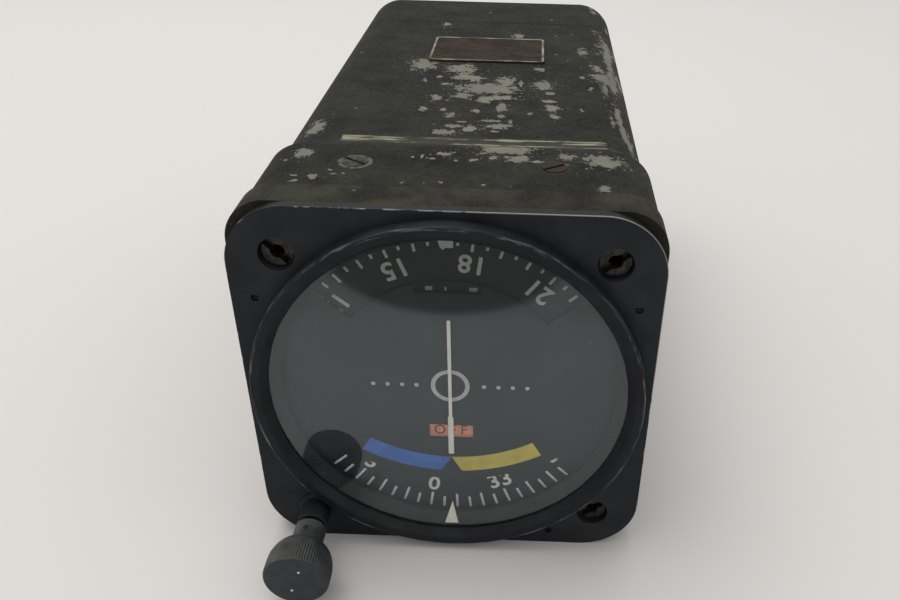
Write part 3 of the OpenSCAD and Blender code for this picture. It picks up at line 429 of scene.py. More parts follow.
# Read off enlarged crops of the photograph and carried onto the top through its fitted
# camera, one of them nudged since. The last eight have no reading and were placed freely.
CASE_CHIPS = tuple(Chip(*spot) for spot in (
    (-14, 91, 3.2, 4.9), (-3.9, 88.2, 3.5, 3.8), (-2.2, 81, 3.6, 2.4), (0.4, 80, 2, 2.1),
    (16.6, 89.5, 1.1, 1.6), (-9, 80.9, 0.7, 1.1), (-12.4, 77, 0.5, 0.9), (3.8, 72.3, 7.1, 3.9),
    (8.2, 77.8, 2.5, 3.5), (-6.1, 75, 2, 1), (12.1, 77, 0.5, 2.9), (17.4, 75.8, 2.1, 3.5),
    (-2, 66.3, 2.1, 2.4), (3.7, 64.2, 1.9, 3.2), (7.2, 65.8, 3.4, 1.4), (-7.9, 64.7, 1.4, 1.9),
    (19.3, 69.9, 1.4, 1), (-10.3, 56.3, 0.8, 1.4), (-5.7, 56.2, 0.7, 1.3), (1.8, 55.9, 0.8, 1.6),
    (7.8, 58.2, 1.2, 2.5), (18.9, 64, 1.4, 1.1), (19.7, 59.3, 1.5, 2.5), (-3.5, 52.7, 1.2, 1.7),
    (8.2, 52.8, 0.7, 1.2), (14.4, 54.9, 0.4, 0.7), (20.3, 53.2, 1, 1.1), (-0.9, 48.3, 1.1, 0.5),
    (6, 49.4, 2.4, 0.6), (10.5, 49.1, 0.6, 1.3), (-2.3, 45.5, 2.2, 1.2), (1.5, 44.2, 1.6, 1.4),
    (7.7, 46.1, 3, 1.6), (-4.3, 41.7, 3.1, 1.1), (6.6, 42.9, 1.1, 0.7), (27.8, 83.6, 0.6, 1.2),
    (29.6, 74.1, 0.4, 1.4), (26.7, 58.3, 0.4, 0.9), (33.3, 55.8, 0.3, 0.8), (32, 92.3, 1.5, 3.2),
    (33.4, 85, 2.8, 3.7), (9.9, 31, 5.5, 3.3), (12.5, 26.1, 2.2, 1.9), (7.4, 25.9, 1.4, 1.2),
    (3.3, 24.6, 0.8, 0.8), (16.5, 25, 1.9, 0.5), (22.5, 27.7, 1.5, 1.9), (22, 23.7, 0.7, 0.6),
    (29.7, 26, 3.8, 3), (-2.5, 27.4, 1.8, 1.2), (-6.9, 25.7, 0.4, 1.1), (-8.8, 24.9, 0.3, 0.5),
    (-4.8, 24.7, 0.7, 0.4), (6.1, 12.7, 0.3, 0.5), (-1.9, 13.2, 0.3, 0.5), (-4.9, 12.7, 0.3, 0.4),
    (29.2, 12.6, 1, 1.3), (-9.2, 12.7, 0.3, 0.5), (-31, 25.5, 1.8, 2), (-33.8, 22, 0.4, 0.6),
    (-30.6, 14.4, 0.9, 0.6), (-30, 11.8, 0.7, 0.5), (-26.5, 14.1, 0.9, 0.9), (-23.1, 15.6, 0.5, 0.4),
    (36, 86, 1.3, 9), (36, 108, 1.2, 17), (35.5, 60, 0.8, 8), (-32.5, 43, 1.9, 3.9), (-39, 60, 0.8, 30),
    (28.5, 107, 1.2, 3), (10, 122, 1.5, 2.5), (-12, 133, 1.1, 2.5),
))


@dataclass(frozen=True)
class CaseEnamel(Surface):
    """Olive wrinkle enamel over primed aluminium, chipped on top and rubbed at its edges.

    Attributes:
        chips: Patches of lost paint on the top.
        upper: Heights between which the sides' wear gives way to the top's.
        flat: Heights between which the top's marks begin.
        stripe_y: Middle of the bare stripe at the joggle.
        stripe_half: Half its depth along the case.
        stripe_x: Middle of the stripe across the case.
        stripe_half_x: Half its width across the case.
        stripe_tones: Colours of its dark and its bright streaks.
        grime: Colour of the dirt along the stripe.
        half: Half the case's width.
        corner: Its corner radius.
        long_edge: X and Z added together at the rubbed long edge.
        edge_y: Between which distances from the face that edge starts to be rubbed.
        rear_y: How far behind the face the rubbed rim at the rear lies.
        screw_x: Distance of the cover screws from the middle.
        screw_y: Distance of the cover screws from the face.
        rings: Side, colour and strength of the ring round each upper cover screw.
    """

    spread: float = 0.12
    grain_mm: float = 0.7
    dust: float = 0.06
    specular: float = 0.17
    chips: tuple[Chip, ...] = CASE_CHIPS
    upper: Pair = (22.0, 27.0)
    flat: Pair = (36.0, 38.0)
    stripe_y: float = 35.9
    stripe_half: float = 2.4
    stripe_x: float = 2.9
    stripe_half_x: float = 28.3
    stripe_tones: tuple[str, str] = ("#33332a", "#97947e")
    grime: str = "#2b2a20"
    half: float = 40.3
    corner: float = 11.0
    long_edge: float = 73.0
    edge_y: Pair = (30.0, 45.0)
    rear_y: float = 164.0
    screw_x: float = 19.9
    screw_y: float = 22.0
    rings: tuple[tuple[int, str, float], ...] = ((-1, "#6e6d62", 0.7), (1, "#30261d", 0.8))

    def patch_distance(self, graph: Graph, place: Socket) -> Socket:
        """Distance from the nearest chip's middle.

        The nearest distance so far travels in the coordinates' third place, so that the chips are measured
        one after another and few values wait at a time.

        Args:
            graph: The material's nodes.
            place: Coordinates in millimetres.

        Returns:
            The distance, one at a chip's rim.
        """
        across, behind, high = graph.add("SeparateXYZ", place).node.outputs
        nearest = graph.add("Math ADD", high, FAR_AWAY)
        for chip in self.chips:
            carried = graph.add("CombineXYZ", across, behind, nearest)
            scale = (1 / chip.wide, 1 / chip.deep, 0)
            shift = (-chip.x / chip.wide, -chip.y / chip.deep, 0)
            local = graph.add("Mapping", carried, named={"Location": shift, "Scale": scale})
            far = graph.add("VectorMath LENGTH", local, output=1)
            nearest = graph.add("Math MINIMUM", nearest, far)
        return nearest

    def wear(self, graph: Graph) -> Socket:
        """Chips and specks on top, a rubbed rear rim and long edge, and scuffs low on the sides.

        Args:
            graph: The material's nodes.

        Returns:
            One where the enamel is gone.
        """
        ragged = graph.warped(3.2, 1.1)
        across, behind, high = graph.axes
        on_top = graph.ramp(high, *self.upper)
        fine = graph.blotches(1.8, 6, 0.72)
        away = self.patch_distance(graph, ragged)
        near = graph.add("Math MULTIPLY_ADD", away, -0.25, fine)
        crumb = graph.blotches(0.95, 4, 0.6)
        loose = graph.add("Math MULTIPLY_ADD", away, -0.055, crumb)
        chipped = graph.highest(graph.ramp(near, 0.25, 0.275), graph.ramp(loose, 0.53, 0.56))
        chipped = graph.product(chipped, on_top)
        along = graph.blotches(5, 6, 0.7, (1, 3, 1))
        seam = graph.add("Math SUBTRACT", behind, self.rear_y)
        outer = graph.ramp(graph.square_edge(self.half, self.corner), -1.3, -0.4)
        rim = graph.product(graph.ramp(seam, -1.6, -0.4), outer)
        rubbed = graph.product(rim, graph.ramp(along, 0.46, 0.56))
        corner = graph.add("Math ADD", across, high)
        edges = graph.product(
            graph.ramp(corner, self.long_edge - 1.6, self.long_edge + 0.4),
            graph.ramp(behind, *self.edge_y), graph.ramp(along, 0.54, 0.6),
        )
        rare = graph.ramp(graph.blotches(14, 2), 0.5, 0.56)
        specks = graph.product(graph.specks(5.5, ragged, 0.06, 0.085), rare)
        low = graph.ramp(high, *reversed(self.upper))
        scuffs = graph.product(low, graph.ramp(graph.blotches(16, 8, 0.72, place=ragged), 0.645, 0.665))
        return graph.highest(chipped, rubbed, edges, specks, scuffs)

    def stains(self, graph: Graph, colour: Socket) -> Socket:
        """The bare streaked stripe at the joggle, its grime, and the rings round the upper cover screws.

        Args:
            graph: The material's nodes.
            colour: The enamel's colour.

        Returns:
            The marked colour.
        """
        ragged = graph.warped(1.6, 0.35)
        across, behind, high = graph.add("SeparateXYZ", ragged).node.outputs
        on_top = graph.ramp(high, *self.flat)
        from_x = graph.apart(across, self.stripe_x)
        off_y = graph.apart(behind, self.stripe_y)
        side, edge = self.stripe_half_x, self.stripe_half
        inside = graph.product(
            graph.ramp(from_x, side + 0.3, side - 0.3), graph.ramp(off_y, edge + 0.25, edge - 0.35), on_top,
        )
        streak = graph.blotches(0.9, 4, 0.62, (14, 1, 1))
        ends = graph.ramp(from_x, side - 7, side - 2, 0, 0.1)
        rims = graph.ramp(off_y, edge - 1.1, edge - 0.5, 0, 0.12)
        streak = graph.add("Math ADD", streak, graph.highest(ends, rims))
        patchy = graph.ramp(graph.blotches(5, 3, 0.6, (2.5, 1, 1)), 0.38, 0.64, -0.22, 0.07)
        streak = graph.add("Math ADD", streak, patchy)
        bared = graph.blend(graph.ramp(streak, 0.42, 0.7), *map(linear, self.stripe_tones))
        colour = graph.blend(inside, colour, bared)
        grime = graph.ramp(off_y, edge + 1.6, edge + 0.1, 0, 0.55)
        outside = graph.product(grime, graph.ramp(off_y, edge - 0.2, edge + 0.2), on_top)
        reach = graph.ramp(from_x, side + 1, side - 2)
        colour = graph.blend(graph.product(outside, reach), colour, linear(self.grime))
        for way, tone, strength in self.rings:
            centre = (way * self.screw_x, self.screw_y, 0)
            local = graph.add("VectorMath SUBTRACT", ragged, centre)
            flat = graph.add("VectorMath MULTIPLY", local, (1, 1, 0))
            far = graph.add("VectorMath LENGTH", flat, output=1)
            ring = graph.product(graph.ramp(far, 3.7, 3.2), graph.ramp(far, 2.4, 2.7), on_top, strength)
            broken = graph.product(ring, graph.ramp(graph.blotches(1.5), 0.36, 0.5))
            colour = graph.blend(broken, colour, linear(tone))
        return colour


@dataclass(frozen=True)
class FaceEnamel(Surface):
    """Black enamel on the square face plate, worn bright along its top and right edges.

    Attributes:
        half: Half the plate's width.
        corner: Its corner radius.
        side: Colour of its rim.
    """

    half: float = 41.275
    corner: float = 12.5
    side: str = "#191811"

    def wear(self, graph: Graph) -> Socket:
        """A thin line along the front arris, strongest at the top right, and a few nicks.

        Args:
            graph: The material's nodes.

        Returns:
            One where the enamel is gone.
        """
        edge = graph.square_edge(self.half, self.corner)
        across, behind, high = graph.axes
        arris = graph.product(graph.ramp(edge, -0.22, -0.02), graph.ramp(behind, 0.35, 0.05))
        sweep = graph.add("Math ADD", across, high)
        favoured = graph.ramp(sweep, 15, 60, 0.0, 0.24)
        drift = graph.add("Math ADD", graph.blotches(4, 5, 0.7), favoured)
        nicks = graph.ramp(graph.blotches(1.4, 6, 0.75), 0.72, 0.75)
        return graph.highest(graph.product(arris, graph.ramp(drift, 0.54, 0.66)), graph.product(nicks, 0.6))

    def stains(self, graph: Graph, colour: Socket) -> Socket:
        """The plate's rim, which has the case's olive.

        Args:
            graph: The material's nodes.
            colour: The enamel's colour.

        Returns:
            The colour with its rim.
        """
        rim = graph.ramp(graph.square_edge(self.half, self.corner), -0.6, -0.2)
        back_rim = graph.product(rim, graph.ramp(graph.axes[1], 0.3, 0.7))
        return graph.blend(back_rim, colour, linear(self.side))


@dataclass(frozen=True)
class BezelEnamel(Surface):
    """Black enamel on the turned bezel ring, rubbed grey along a line near its outer edge.

    Attributes:
        crest_r: Radius of the rubbed line.
        front: Y of the ring's front.
        stretch_r: How many times longer a scratch is round the ring than across it.
    """

    crest_r: float = 39.4
    front: float = -3.4
    stretch_r: float = 9.0

    def wear(self, graph: Graph) -> Socket:
        """Scratches that run round the ring.

        Args:
            graph: The material's nodes.

        Returns:
            Above zero where the enamel is rubbed.
        """
        flat = graph.add("VectorMath MULTIPLY", graph.place, (1, 0, 1))
        radius = graph.add("VectorMath LENGTH", flat, output=1)
        across, behind, high = graph.axes
        turn = graph.add("Math ARCTAN2", across, high)
        arc = graph.add("Math MULTIPLY", turn, self.crest_r / self.stretch_r)
        polar = graph.add("CombineXYZ", arc, radius, behind)
        scratch = graph.blotches(0.7, 4, 0.7, place=polar)
        crest = graph.ramp(graph.apart(radius, self.crest_r), 0.45, 0.1)
        forward = graph.ramp(behind, self.front + 1.1, self.front + 0.3)
        return graph.product(crest, forward, graph.ramp(scratch, 0.46, 0.66, 0, 0.6))


@dataclass(frozen=True)
class RustedPlate(Surface):
    """Plated screws in the case, of which the right ones have gone to rust.

    Attributes:
        rust: Colour of the rust.
        rust_x: Between which distances to the right it starts.
        share: How much of it covers the plating.
    """

    rust: str = "#33271d"
    rust_x: Pair = (5.0, 6.0)
    share: float = 0.95

    def stains(self, graph: Graph, colour: Socket) -> Socket:
        """Rust on the screws at the right.

        Args:
            graph: The material's nodes.
            colour: The plating's colour.

        Returns:
            The rusted colour.
        """
        rusty = graph.ramp(graph.axes[0], *self.rust_x, 0, self.share)
        return graph.blend(rusty, colour, linear(self.rust))


@dataclass(frozen=True)
class CoverGlass:
    """Float glass with a greasy film of dust. A patch at the top, where the film thins and the glass mirrors
    little, is a painted dark reflection, and a grey let through along its upper edge is painted shade.

    Attributes:
        name: What it is.
        film: Colour of the film.
        tint: Colour of what the glass mirrors.
        shade: Painted shade: the grey that each face lets through along the glass's upper edge, which
            darkens the upper dial.
        painted_shade_z: Between which heights that painted shade starts.
        veil: Share of the film over most of the glass.
        clear: Share of the film in the patch of painted dark reflection, where it is thinner to darken it.
        faces: How many times one face's mirroring shows, for both faces together.
        painted_dark_mirroring: Share of the mirroring left in the patch of painted dark reflection.
        front: Y of the glass's front face.
        painted_dark_z: Height of the middle of the patch of painted dark reflection, near the glass's upper
            edge.
        painted_dark_half: Half its width.
        painted_dark_reach: How far it reaches down from its middle.
        gloss: Roughness of what the glass mirrors.
        ior: Index of soda glass.
    """

    name: str = "dusty_float_glass_with_painted_shade"
    film: str = "#8e989a"
    tint: str = "#f1fcff"
    shade: str = "#e3e3e3"
    painted_shade_z: Pair = (17.0, 23.0)
    veil: float = 0.03
    clear: float = 0.012
    faces: float = 1.6
    painted_dark_mirroring: float = 0.33
    front: float = -1.3
    painted_dark_z: float = 34.0
    painted_dark_half: float = 24.5
    painted_dark_reach: float = 14.5
    gloss: float = 0.03
    ior: float = 1.52

    def build(self) -> Material:
        """Make the material.

        Returns:
            Clear glass that mirrors faintly, under its film.
        """
        graph = Graph(self.name)
        _, behind, high = graph.axes
        drift = graph.blotches(7, 4, 0.6)
        # Painted dark reflection: a patch at the top where the film thins and the mirroring is cut
        local = graph.add("VectorMath SUBTRACT", graph.place, (0, 0, self.painted_dark_z))
        shares = (1 / self.painted_dark_half, 0, 1 / self.painted_dark_reach)
        local = graph.add("VectorMath MULTIPLY", local, shares)
        painted_dark_patch = graph.ramp(graph.add("VectorMath LENGTH", local, output=1), 1.06, 0.82)
        share = graph.ramp(painted_dark_patch, 0, 1, self.veil, self.clear)
        patchy = graph.product(share, graph.ramp(drift, 0.2, 0.8, 0.75, 1.25))
        strewn = graph.ramp(graph.blotches(8, 2), 0.5, 0.6, 0, 0.5)
        motes = graph.product(graph.specks(2.6, graph.place, 0.045, 0.07), strewn)
        outer = graph.ramp(behind, self.front + 0.06, self.front + 0.02)
        covered = graph.product(graph.highest(patchy, motes), outer)
        # Painted shade: the glass lets less light through along its upper edge, so the upper dial is darker
        painted_shade_tint = graph.blend(graph.ramp(high, *self.painted_shade_z), linear("#ffffff"), linear(self.shade))
        clear = graph.add("BsdfTransparent", painted_shade_tint)
        gloss = graph.add("BsdfGlossy", named={"Color": linear(self.tint), "Roughness": self.gloss})
        facing = graph.add("NewGeometry", output=6)
        mirror = graph.add("Fresnel", self.ior)
        front_only = graph.add("Math SUBTRACT", 1.0, facing)
        # The mirroring drops inside the patch of painted dark reflection
        kept = graph.ramp(painted_dark_patch, 0, 1, self.faces, self.painted_dark_mirroring * self.faces)
        glass = graph.add("MixShader", graph.product(mirror, front_only, kept), clear, gloss)
        film = graph.add("BsdfDiffuse", linear(self.film), 0.0)
        return graph.close(graph.add("MixShader", covered, glass, film))


class Finish(Enum):
    """Every finish on the indicator, by what it really is."""

    # Air-dried black enamel: a soft sheen that keeps the machining's ripple
    FACE = FaceEnamel(
        "black_air_dried_enamel", "#171a1f", "#21252a", 0.5, blotch_mm=9, grain_mm=0.5, grain_depth=0.006,
        dust=0.05, bare="#a3a6a4", bare_roughness=0.38, bare_metallic=1.0, film_depth=0.03, specular=0.2,
    )
    # The same enamel on a turned ring, where tool marks run round it
    BEZEL = BezelEnamel(
        "black_enamel_on_turned_ring", "#0e1014", "#16191f", 0.55, blotch_mm=7, grain_mm=0.4,
        grain_depth=0.006, dust=0.06, bare="#85898a", bare_roughness=0.45, bare_metallic=0.6,
        film_depth=0.02, specular=0.22,
    )
    # Flat black inside the window swallows light so that the dial reads clearly
    INNER_RING = Surface("flat_black_lacquer", "#0b0c0e", "#111316", 0.66, dust=0.08, specular=0.3)
    # Wrinkle enamel: a coarse dull skin that chips to the grey primer
    CASE = CaseEnamel(
        "olive_enamel_over_primer", "#161713", "#20211b", 0.78, blotch_mm=11, grain_depth=0.02,
        bare="#7b786d", bare_roughness=0.7, film_depth=0.07,
    )
    CASTING = CaseEnamel(
        "olive_enamel_on_casting", "#1d1b14", "#2f2d23", 0.76, blotch_mm=9, grain_depth=0.025,
        bare="#747266", bare_roughness=0.68, film_depth=0.06,
    )
    # Compression-moulded phenolic: a dull blue black with pale dust in its ridges
    KNOB = Surface(
        "moulded_phenolic", "#1c2227", "#272d32", 0.52, spread=0.1, blotch_mm=2.5, grain_mm=0.3,
        grain_depth=0.01, dust=0.36, specular=0.4,
    )
    # Silk-screened dial black: dead flat, so that no lamp shines back
    DIAL = Surface(
        "dial_black_silk_screen", "#1b2022", "#22282a", 0.8, blotch_mm=12, grain_mm=0.15, grain_depth=0.0008,
        specular=0.3,
    )
    GREY_INK = Ink("dulled_white_dial_ink", "#a6a9a3", "#b6b9b3")
    WHITE_INK = Ink("white_dial_ink", "#c6c9c3", "#d8dad4")
    NEEDLE_WHITE = Surface("white_needle_lacquer", "#d2d1c8", "#dddcd3", 0.5, blotch_mm=3, grain_depth=0.002)
    BLUE_INK = Ink("blue_dial_ink", "#275aa8", "#366cbd", blotch_mm=4)
    YELLOW_INK = Ink("yellow_dial_ink", "#b3a43c", "#c6b84e", blotch_mm=4)
    CREAM = Surface("aged_cream_lacquer", "#e2dec8", "#efecd9", 0.55, blotch_mm=1.5, grain_depth=0.004)
    SALMON = Surface("faded_red_lacquer", "#d07e63", "#de9c80", 0.6, blotch_mm=2, grain_depth=0.003)
    BLACK_INK = Surface("black_letter_ink", "#17130f", "#1f1a16", 0.6, grain_depth=0.002)
    # Cadmium-plated screws gone dull: brown grey with bright rubbed spots
    PLATED = Surface(
        "dull_cadmium_plate", "#4b463d", "#6f6b60", 0.5, metallic=0.7, spread=0.15, blotch_mm=1.2,
        grain_mm=0.3, grain_depth=0.01, dust=0.3,
    )
    # Blackened brass: nearly black, with lighter grey blotches strewn at random that are painted glints
    BLACKENED = Surface(
        "blackened_brass", "#141412", "#36352e", 0.42, metallic=0.4, spread=0.15, blotch_mm=0.9,
        grain_mm=0.3, grain_depth=0.01, specular=0.35,
    )
    SCREW = RustedPlate(
        "weathered_cadmium_plate", "#2c2b22", "#504e42", 0.65, metallic=0.1, spread=0.12, blotch_mm=1.2,
        grain_mm=0.3, grain_depth=0.012, dust=0.02, specular=0.12,
    )
    STEEL = Metal("turned_steel", "#8f9090", "#a9aaa8", 0.3, blotch_mm=2, grain_mm=0.12)
    BRASS = Metal("hobbed_brass", "#9c8140", "#b79a52", 0.32, blotch_mm=3, grain_mm=0.15)
    ALUMINIUM = Metal(
        "machined_aluminium", "#8d8d88", "#a3a39d", 0.42, blotch_mm=5, grain_mm=0.2, grain_depth=0.004,
    )
    COPPER = Surface(
        "enamelled_copper_wire", "#7c3d1d", "#a1592f", 0.35, metallic=0.8, blotch_mm=2, grain_mm=0.2,
        grain_depth=0.03, stretch=(12, 1, 12),
    )
    CONNECTOR = Surface(
        "dull_nickel_plate", "#5e5f58", "#7b7c73", 0.42, metallic=0.8, spread=0.12, blotch_mm=4,
        grain_mm=0.4, grain_depth=0.008, dust=0.15,
    )
    INSULATOR = Surface("moulded_black_insulator", "#161514", "#221f1d", 0.6, blotch_mm=2)
    GOLD = Metal("gilt_contact", "#b7913d", "#cfa851", 0.28, blotch_mm=1, grain_mm=0.1, grain_depth=0.002)
    # Etched brass gone brown: the field dull, the raised border rubbed pale
    PLATE = Surface(
        "browned_etched_brass", "#211a13", "#35291e", 0.7, metallic=0.1, spread=0.12, blotch_mm=3.5,
        grain_mm=0.5, grain_depth=0.01, stretch=(2.5, 1, 1), dust=0.05, specular=0.12,
    )
    BORDER = Surface(
        "rubbed_brass_border", "#3d3727", "#a3977a", 0.55, metallic=0.1, spread=0.1, blotch_mm=5,
        grain_mm=0.4, grain_depth=0.006,
    )
    GLASS = CoverGlass()

    def material(self) -> Material:
        """The finish's material, built the first time it is asked for."""
        return bpy.data.materials.get(self.value.name) or self.value.build()


def dress(finish: Finish, *nodes: str) -> None:
    """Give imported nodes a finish.

    Args:
        finish: The finish.
        *nodes: Names of the nodes.
    """
    for node in nodes:
        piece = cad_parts[node]
        if not piece.material_slots:
            piece.data.materials.append(None)
        for slot in piece.material_slots:
            slot.material = finish.material()
        log.info("dressed %s in %s", node, finish.value.name)


def add_piece(
    name: str, shape: Shape, finish: Finish, body: Body = Body.ROOT
) -> None:
    """Turn a shape drawn in millimetres into a piece that rides on a body.

    Args:
        name: Name of the piece.
        shape: Its shape, which is freed.
        finish: Its finish.
        body: The body that it rides on.
    """
    bmesh.ops.recalc_face_normals(shape, faces=shape.faces)
    shape.transform(Matrix.Scale(MM, 4))
    mesh = bpy.data.meshes.new(name)
    shape.to_mesh(mesh)
    shape.free()
    mesh.materials.append(finish.material())
    piece = bpy.data.objects.new(name, mesh)
    bpy.context.scene.collection.objects.link(piece)
    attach(piece, body.value)
    log.info("made %s on %s with %d faces", name, body.value, len(mesh.polygons))


def raise_faces(shape: Shape, step: Vector) -> None:
    """Extrude every face of a flat shape into closed solids.

    Args:
        shape: The shape.
        step: How far and which way.
    """
    grown = bmesh.ops.extrude_face_region(shape, geom=shape.faces[:])["geom"]
    moved = [part for part in grown if isinstance(part, bmesh.types.BMVert)]
    bmesh.ops.translate(shape, verts=moved, vec=step)


def arc_band(inner: float, outer: float, start: float, sweep: float, steps: int) -> Shape:
    """A flat band round the Y axis at y = 0.

    Args:
        inner: Inner radius.
        outer: Outer radius.
        start: Angle of its start in degrees, from the bottom towards the viewer's left.
        sweep: Angle that it covers in degrees.
        steps: Number of faces.

    Returns:
        The band.
    """
    shape = bmesh.new()
    turn = Matrix.Rotation(math.radians(start), 3, "Y")
    ends = [shape.verts.new(turn @ Vector((0, 0, -radius))) for radius in (inner, outer)]
    edge = shape.edges.new(ends)
    bmesh.ops.spin(
        shape, geom=[*ends, edge], cent=(0, 0, 0), axis=(0, 1, 0), dvec=(0, 0, 0), steps=steps,
        angle=math.radians(sweep), use_merge=abs(sweep) == 360, use_normal_flip=False, use_duplicate=False,
    )
    bmesh.ops.remove_doubles(shape, verts=shape.verts, dist=1e-4)
    return shape


def add_bar(shape: Shape, size: Triple, place: Matrix) -> None:
    """Add a bar of a size at a place."""
    bmesh.ops.create_cube(shape, size=1.0, matrix=place @ Matrix.Diagonal((*size, 1)))


def add_disc(shape: Shape, radius: float, thick: float, centre: Triple) -> None:
    """Add a thin disc that faces along Y.

    Args:
        shape: Shape that gets the disc.
        radius: Its radius.
        thick: Its thickness.
        centre: Its middle.
    """
    place = Matrix.Translation(centre) @ Matrix.Rotation(math.radians(90), 4, "X")
    bmesh.ops.create_cone(
        shape, cap_ends=True, cap_tris=False, segments=24, radius1=radius, radius2=radius, depth=thick,
        matrix=place,
    )


@dataclass
class Lettering:
    """Plain upright letters, made a mesh and scaled to a real height.

    Attributes:
        height: Height of a capital in millimetres.
        thick: Thickness of the ink.
        narrow: Share of the font's own width.
        weight: Extra width of the strokes, as a share of the letter size.
        spacing: How far apart the letters stand, one for the font's own spacing.
    """

    height: float
    thick: float
    narrow: float = 0.9
    weight: float = 0.0
    spacing: float = 1.0

    def add(self, shape: Shape, text: str, place: Matrix) -> None:
        """Add a line of text, centred on a place and facing the viewer.

        Args:
            shape: Shape that gets the letters.
            text: The text.
            place: Where its middle goes, with its up along local Z.
        """
        curve = bpy.data.curves.new("letters", "FONT")
        curve.body = text
        curve.align_x = "CENTER"
        curve.resolution_u = 4
        curve.offset = self.weight
        curve.space_character = self.spacing
        curve.extrude = 0.5
        holder = bpy.data.objects.new("letters", curve)
        mesh = bpy.data.meshes.new_from_object(holder)
        tops = [vert.co.y for vert in mesh.vertices]
        sides = [vert.co.x for vert in mesh.vertices]
        grow = self.height / (max(tops) - min(tops))
        middle = Vector((-(max(sides) + min(sides)) / 2, -(max(tops) + min(tops)) / 2, 0))
        size = Matrix.Diagonal((grow * self.narrow, grow, self.thick, 1))
        upright = Matrix.Rotation(math.radians(90), 4, "X")
        mesh.transform(place @ upright @ size @ Matrix.Translation(middle))
        shape.from_mesh(mesh)
        bpy.data.objects.remove(holder)
        bpy.data.curves.remove(curve)
        bpy.data.meshes.remove(mesh)


@dataclass
class DialPrinting:
    """The marks screened on the dial mask.

    Attributes:
        ink: Thickness of the ink.
        circle_r: Middle radius of the centre circle.
        circle_w: Width of its line.
        dot_r: Radius of a deviation dot.
        dot_places: Distances of the dots from the middle.
        arc_z: Height of the arcs' centre, on the needle's pivot.
        arc_inner: Inner radius of the arcs.
        arc_outer: Outer radius of the arcs.
        arc_end: Angle of the arcs' outer ends.
        arc_spare: Angle by which an arc runs past the bottom before it is cut.
        gap_top: Height of the gap's point between the arcs.
        gap_left: Corner of the blue arc below the gap's point.
        gap_right: Corner of the yellow arc below the gap's point.
    """

    ink: float = 0.04
    circle_r: float = 3.58
    circle_w: float = 0.9
    dot_r: float = 0.45
    dot_places: tuple[float, ...] = (7, 10, 13, 16)
    arc_z: float = 15.0
    arc_inner: float = 34.4
    arc_outer: float = 38.4
    arc_end: float = 30.6
    arc_spare: float = 8.0
    gap_top: float = -19.4
    gap_left: Pair = (-2.4, -23.4)
    gap_right: Pair = (2.2, -23.4)

    @property
    def front(self) -> float:
        """Y of the mask's front."""
        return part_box("dial_mask")[0].y / MM

    def build(self) -> None:
        """Print the circle, the dots and the two arcs on the mask's front."""
        self.circle()
        self.dots()
        self.sector("blue_arc", 1, self.gap_left, Finish.BLUE_INK)
        self.sector("yellow_arc", -1, self.gap_right, Finish.YELLOW_INK)

    def circle(self) -> None:
        """The circle round the dial's middle."""
        half = self.circle_w / 2
        shape = arc_band(self.circle_r - half, self.circle_r + half, 0, 360, ROUND_STEPS)
        raise_faces(shape, Vector((0, -self.ink, 0)))
        bmesh.ops.translate(shape, verts=shape.verts, vec=(0, self.front, 0))
        add_piece("dial_circle", shape, Finish.GREY_INK)

    def dots(self) -> None:
        """The row of deviation dots."""
        shape = bmesh.new()
        for side in (-1, 1):
            for place in self.dot_places:
                add_disc(shape, self.dot_r, self.ink, (side * place, self.front - self.ink / 2, 0))
        add_piece("deviation_dots", shape, Finish.GREY_INK)

    def sector(self, name: str, side: int, corner: Pair, finish: Finish) -> None:
        """One coloured arc, cut slanting at the gap.

        Args:
            name: Name of the piece.
            side: One for the viewer's left, minus one for the right.
            corner: X and Z of its lower corner at the gap.
            finish: Its ink.
        """
        sweep = (self.arc_end + self.arc_spare) * side
        shape = arc_band(self.arc_inner, self.arc_outer, -self.arc_spare * side, sweep, ROUND_STEPS // 2)
        bmesh.ops.translate(shape, verts=shape.verts, vec=(0, self.front, self.arc_z))
        slant = Vector((corner[0], 0, corner[1] - self.gap_top))
        outward = Vector((-slant.z * side, 0, slant.x * side))
        bmesh.ops.bisect_plane(
            shape, geom=[*shape.verts, *shape.edges, *shape.faces], dist=1e-5,
            plane_co=(0, self.front, self.gap_top), plane_no=outward, clear_outer=True,
        )
        raise_faces(shape, Vector((0, -self.ink, 0)))
        add_piece(name, shape, finish)


@dataclass
class CardPrinting:
    """Ticks and numbers on the course card.

    Attributes:
        ink: Thickness of the ink.
        course: Degrees on the card that lie at the bottom when it is at rest.
        tick_outer: Outer radius of the ticks.
        long_inner: Inner radius of a ten degree tick.
        short_inner: Inner radius of a five degree tick.
        tick_w: Width of a tick.
        number_r: Middle radius of the numbers.
        number_h: Height of the numbers.
    """

    ink: float = 0.04
    course: float = 351.6
    tick_outer: float = 35.3
    long_inner: float = 31.4
    short_inner: float = 32.3
    tick_w: float = 0.55
    number_r: float = 28.6
    number_h: float = 4.0

    def build(self) -> None:
        """Print the card's front."""
        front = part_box("course_card")[0].y / MM
        ticks = bmesh.new()
        for degrees in range(0, 360, 5):
            inner = self.short_inner if degrees % 10 else self.long_inner
            turn = Matrix.Rotation(math.radians(degrees - self.course), 4, "Y")
            middle = Matrix.Translation((0, front - self.ink / 2, -(inner + self.tick_outer) / 2))
            add_bar(ticks, (self.tick_w, self.ink, self.tick_outer - inner), turn @ middle)
        add_piece("card_ticks", ticks, Finish.WHITE_INK, Body.CARD)
        numbers = bmesh.new()
        lettering = Lettering(self.number_h, self.ink, narrow=1.0, weight=0.02, spacing=1.06)
        middle = Matrix.Translation((0, front - self.ink / 2, -self.number_r))
        for degrees in range(0, 360, 30):
            turn = Matrix.Rotation(math.radians(degrees - self.course), 4, "Y")
            lettering.add(numbers, str(degrees // 10), turn @ middle)
        add_piece("card_numbers", numbers, Finish.WHITE_INK, Body.CARD)


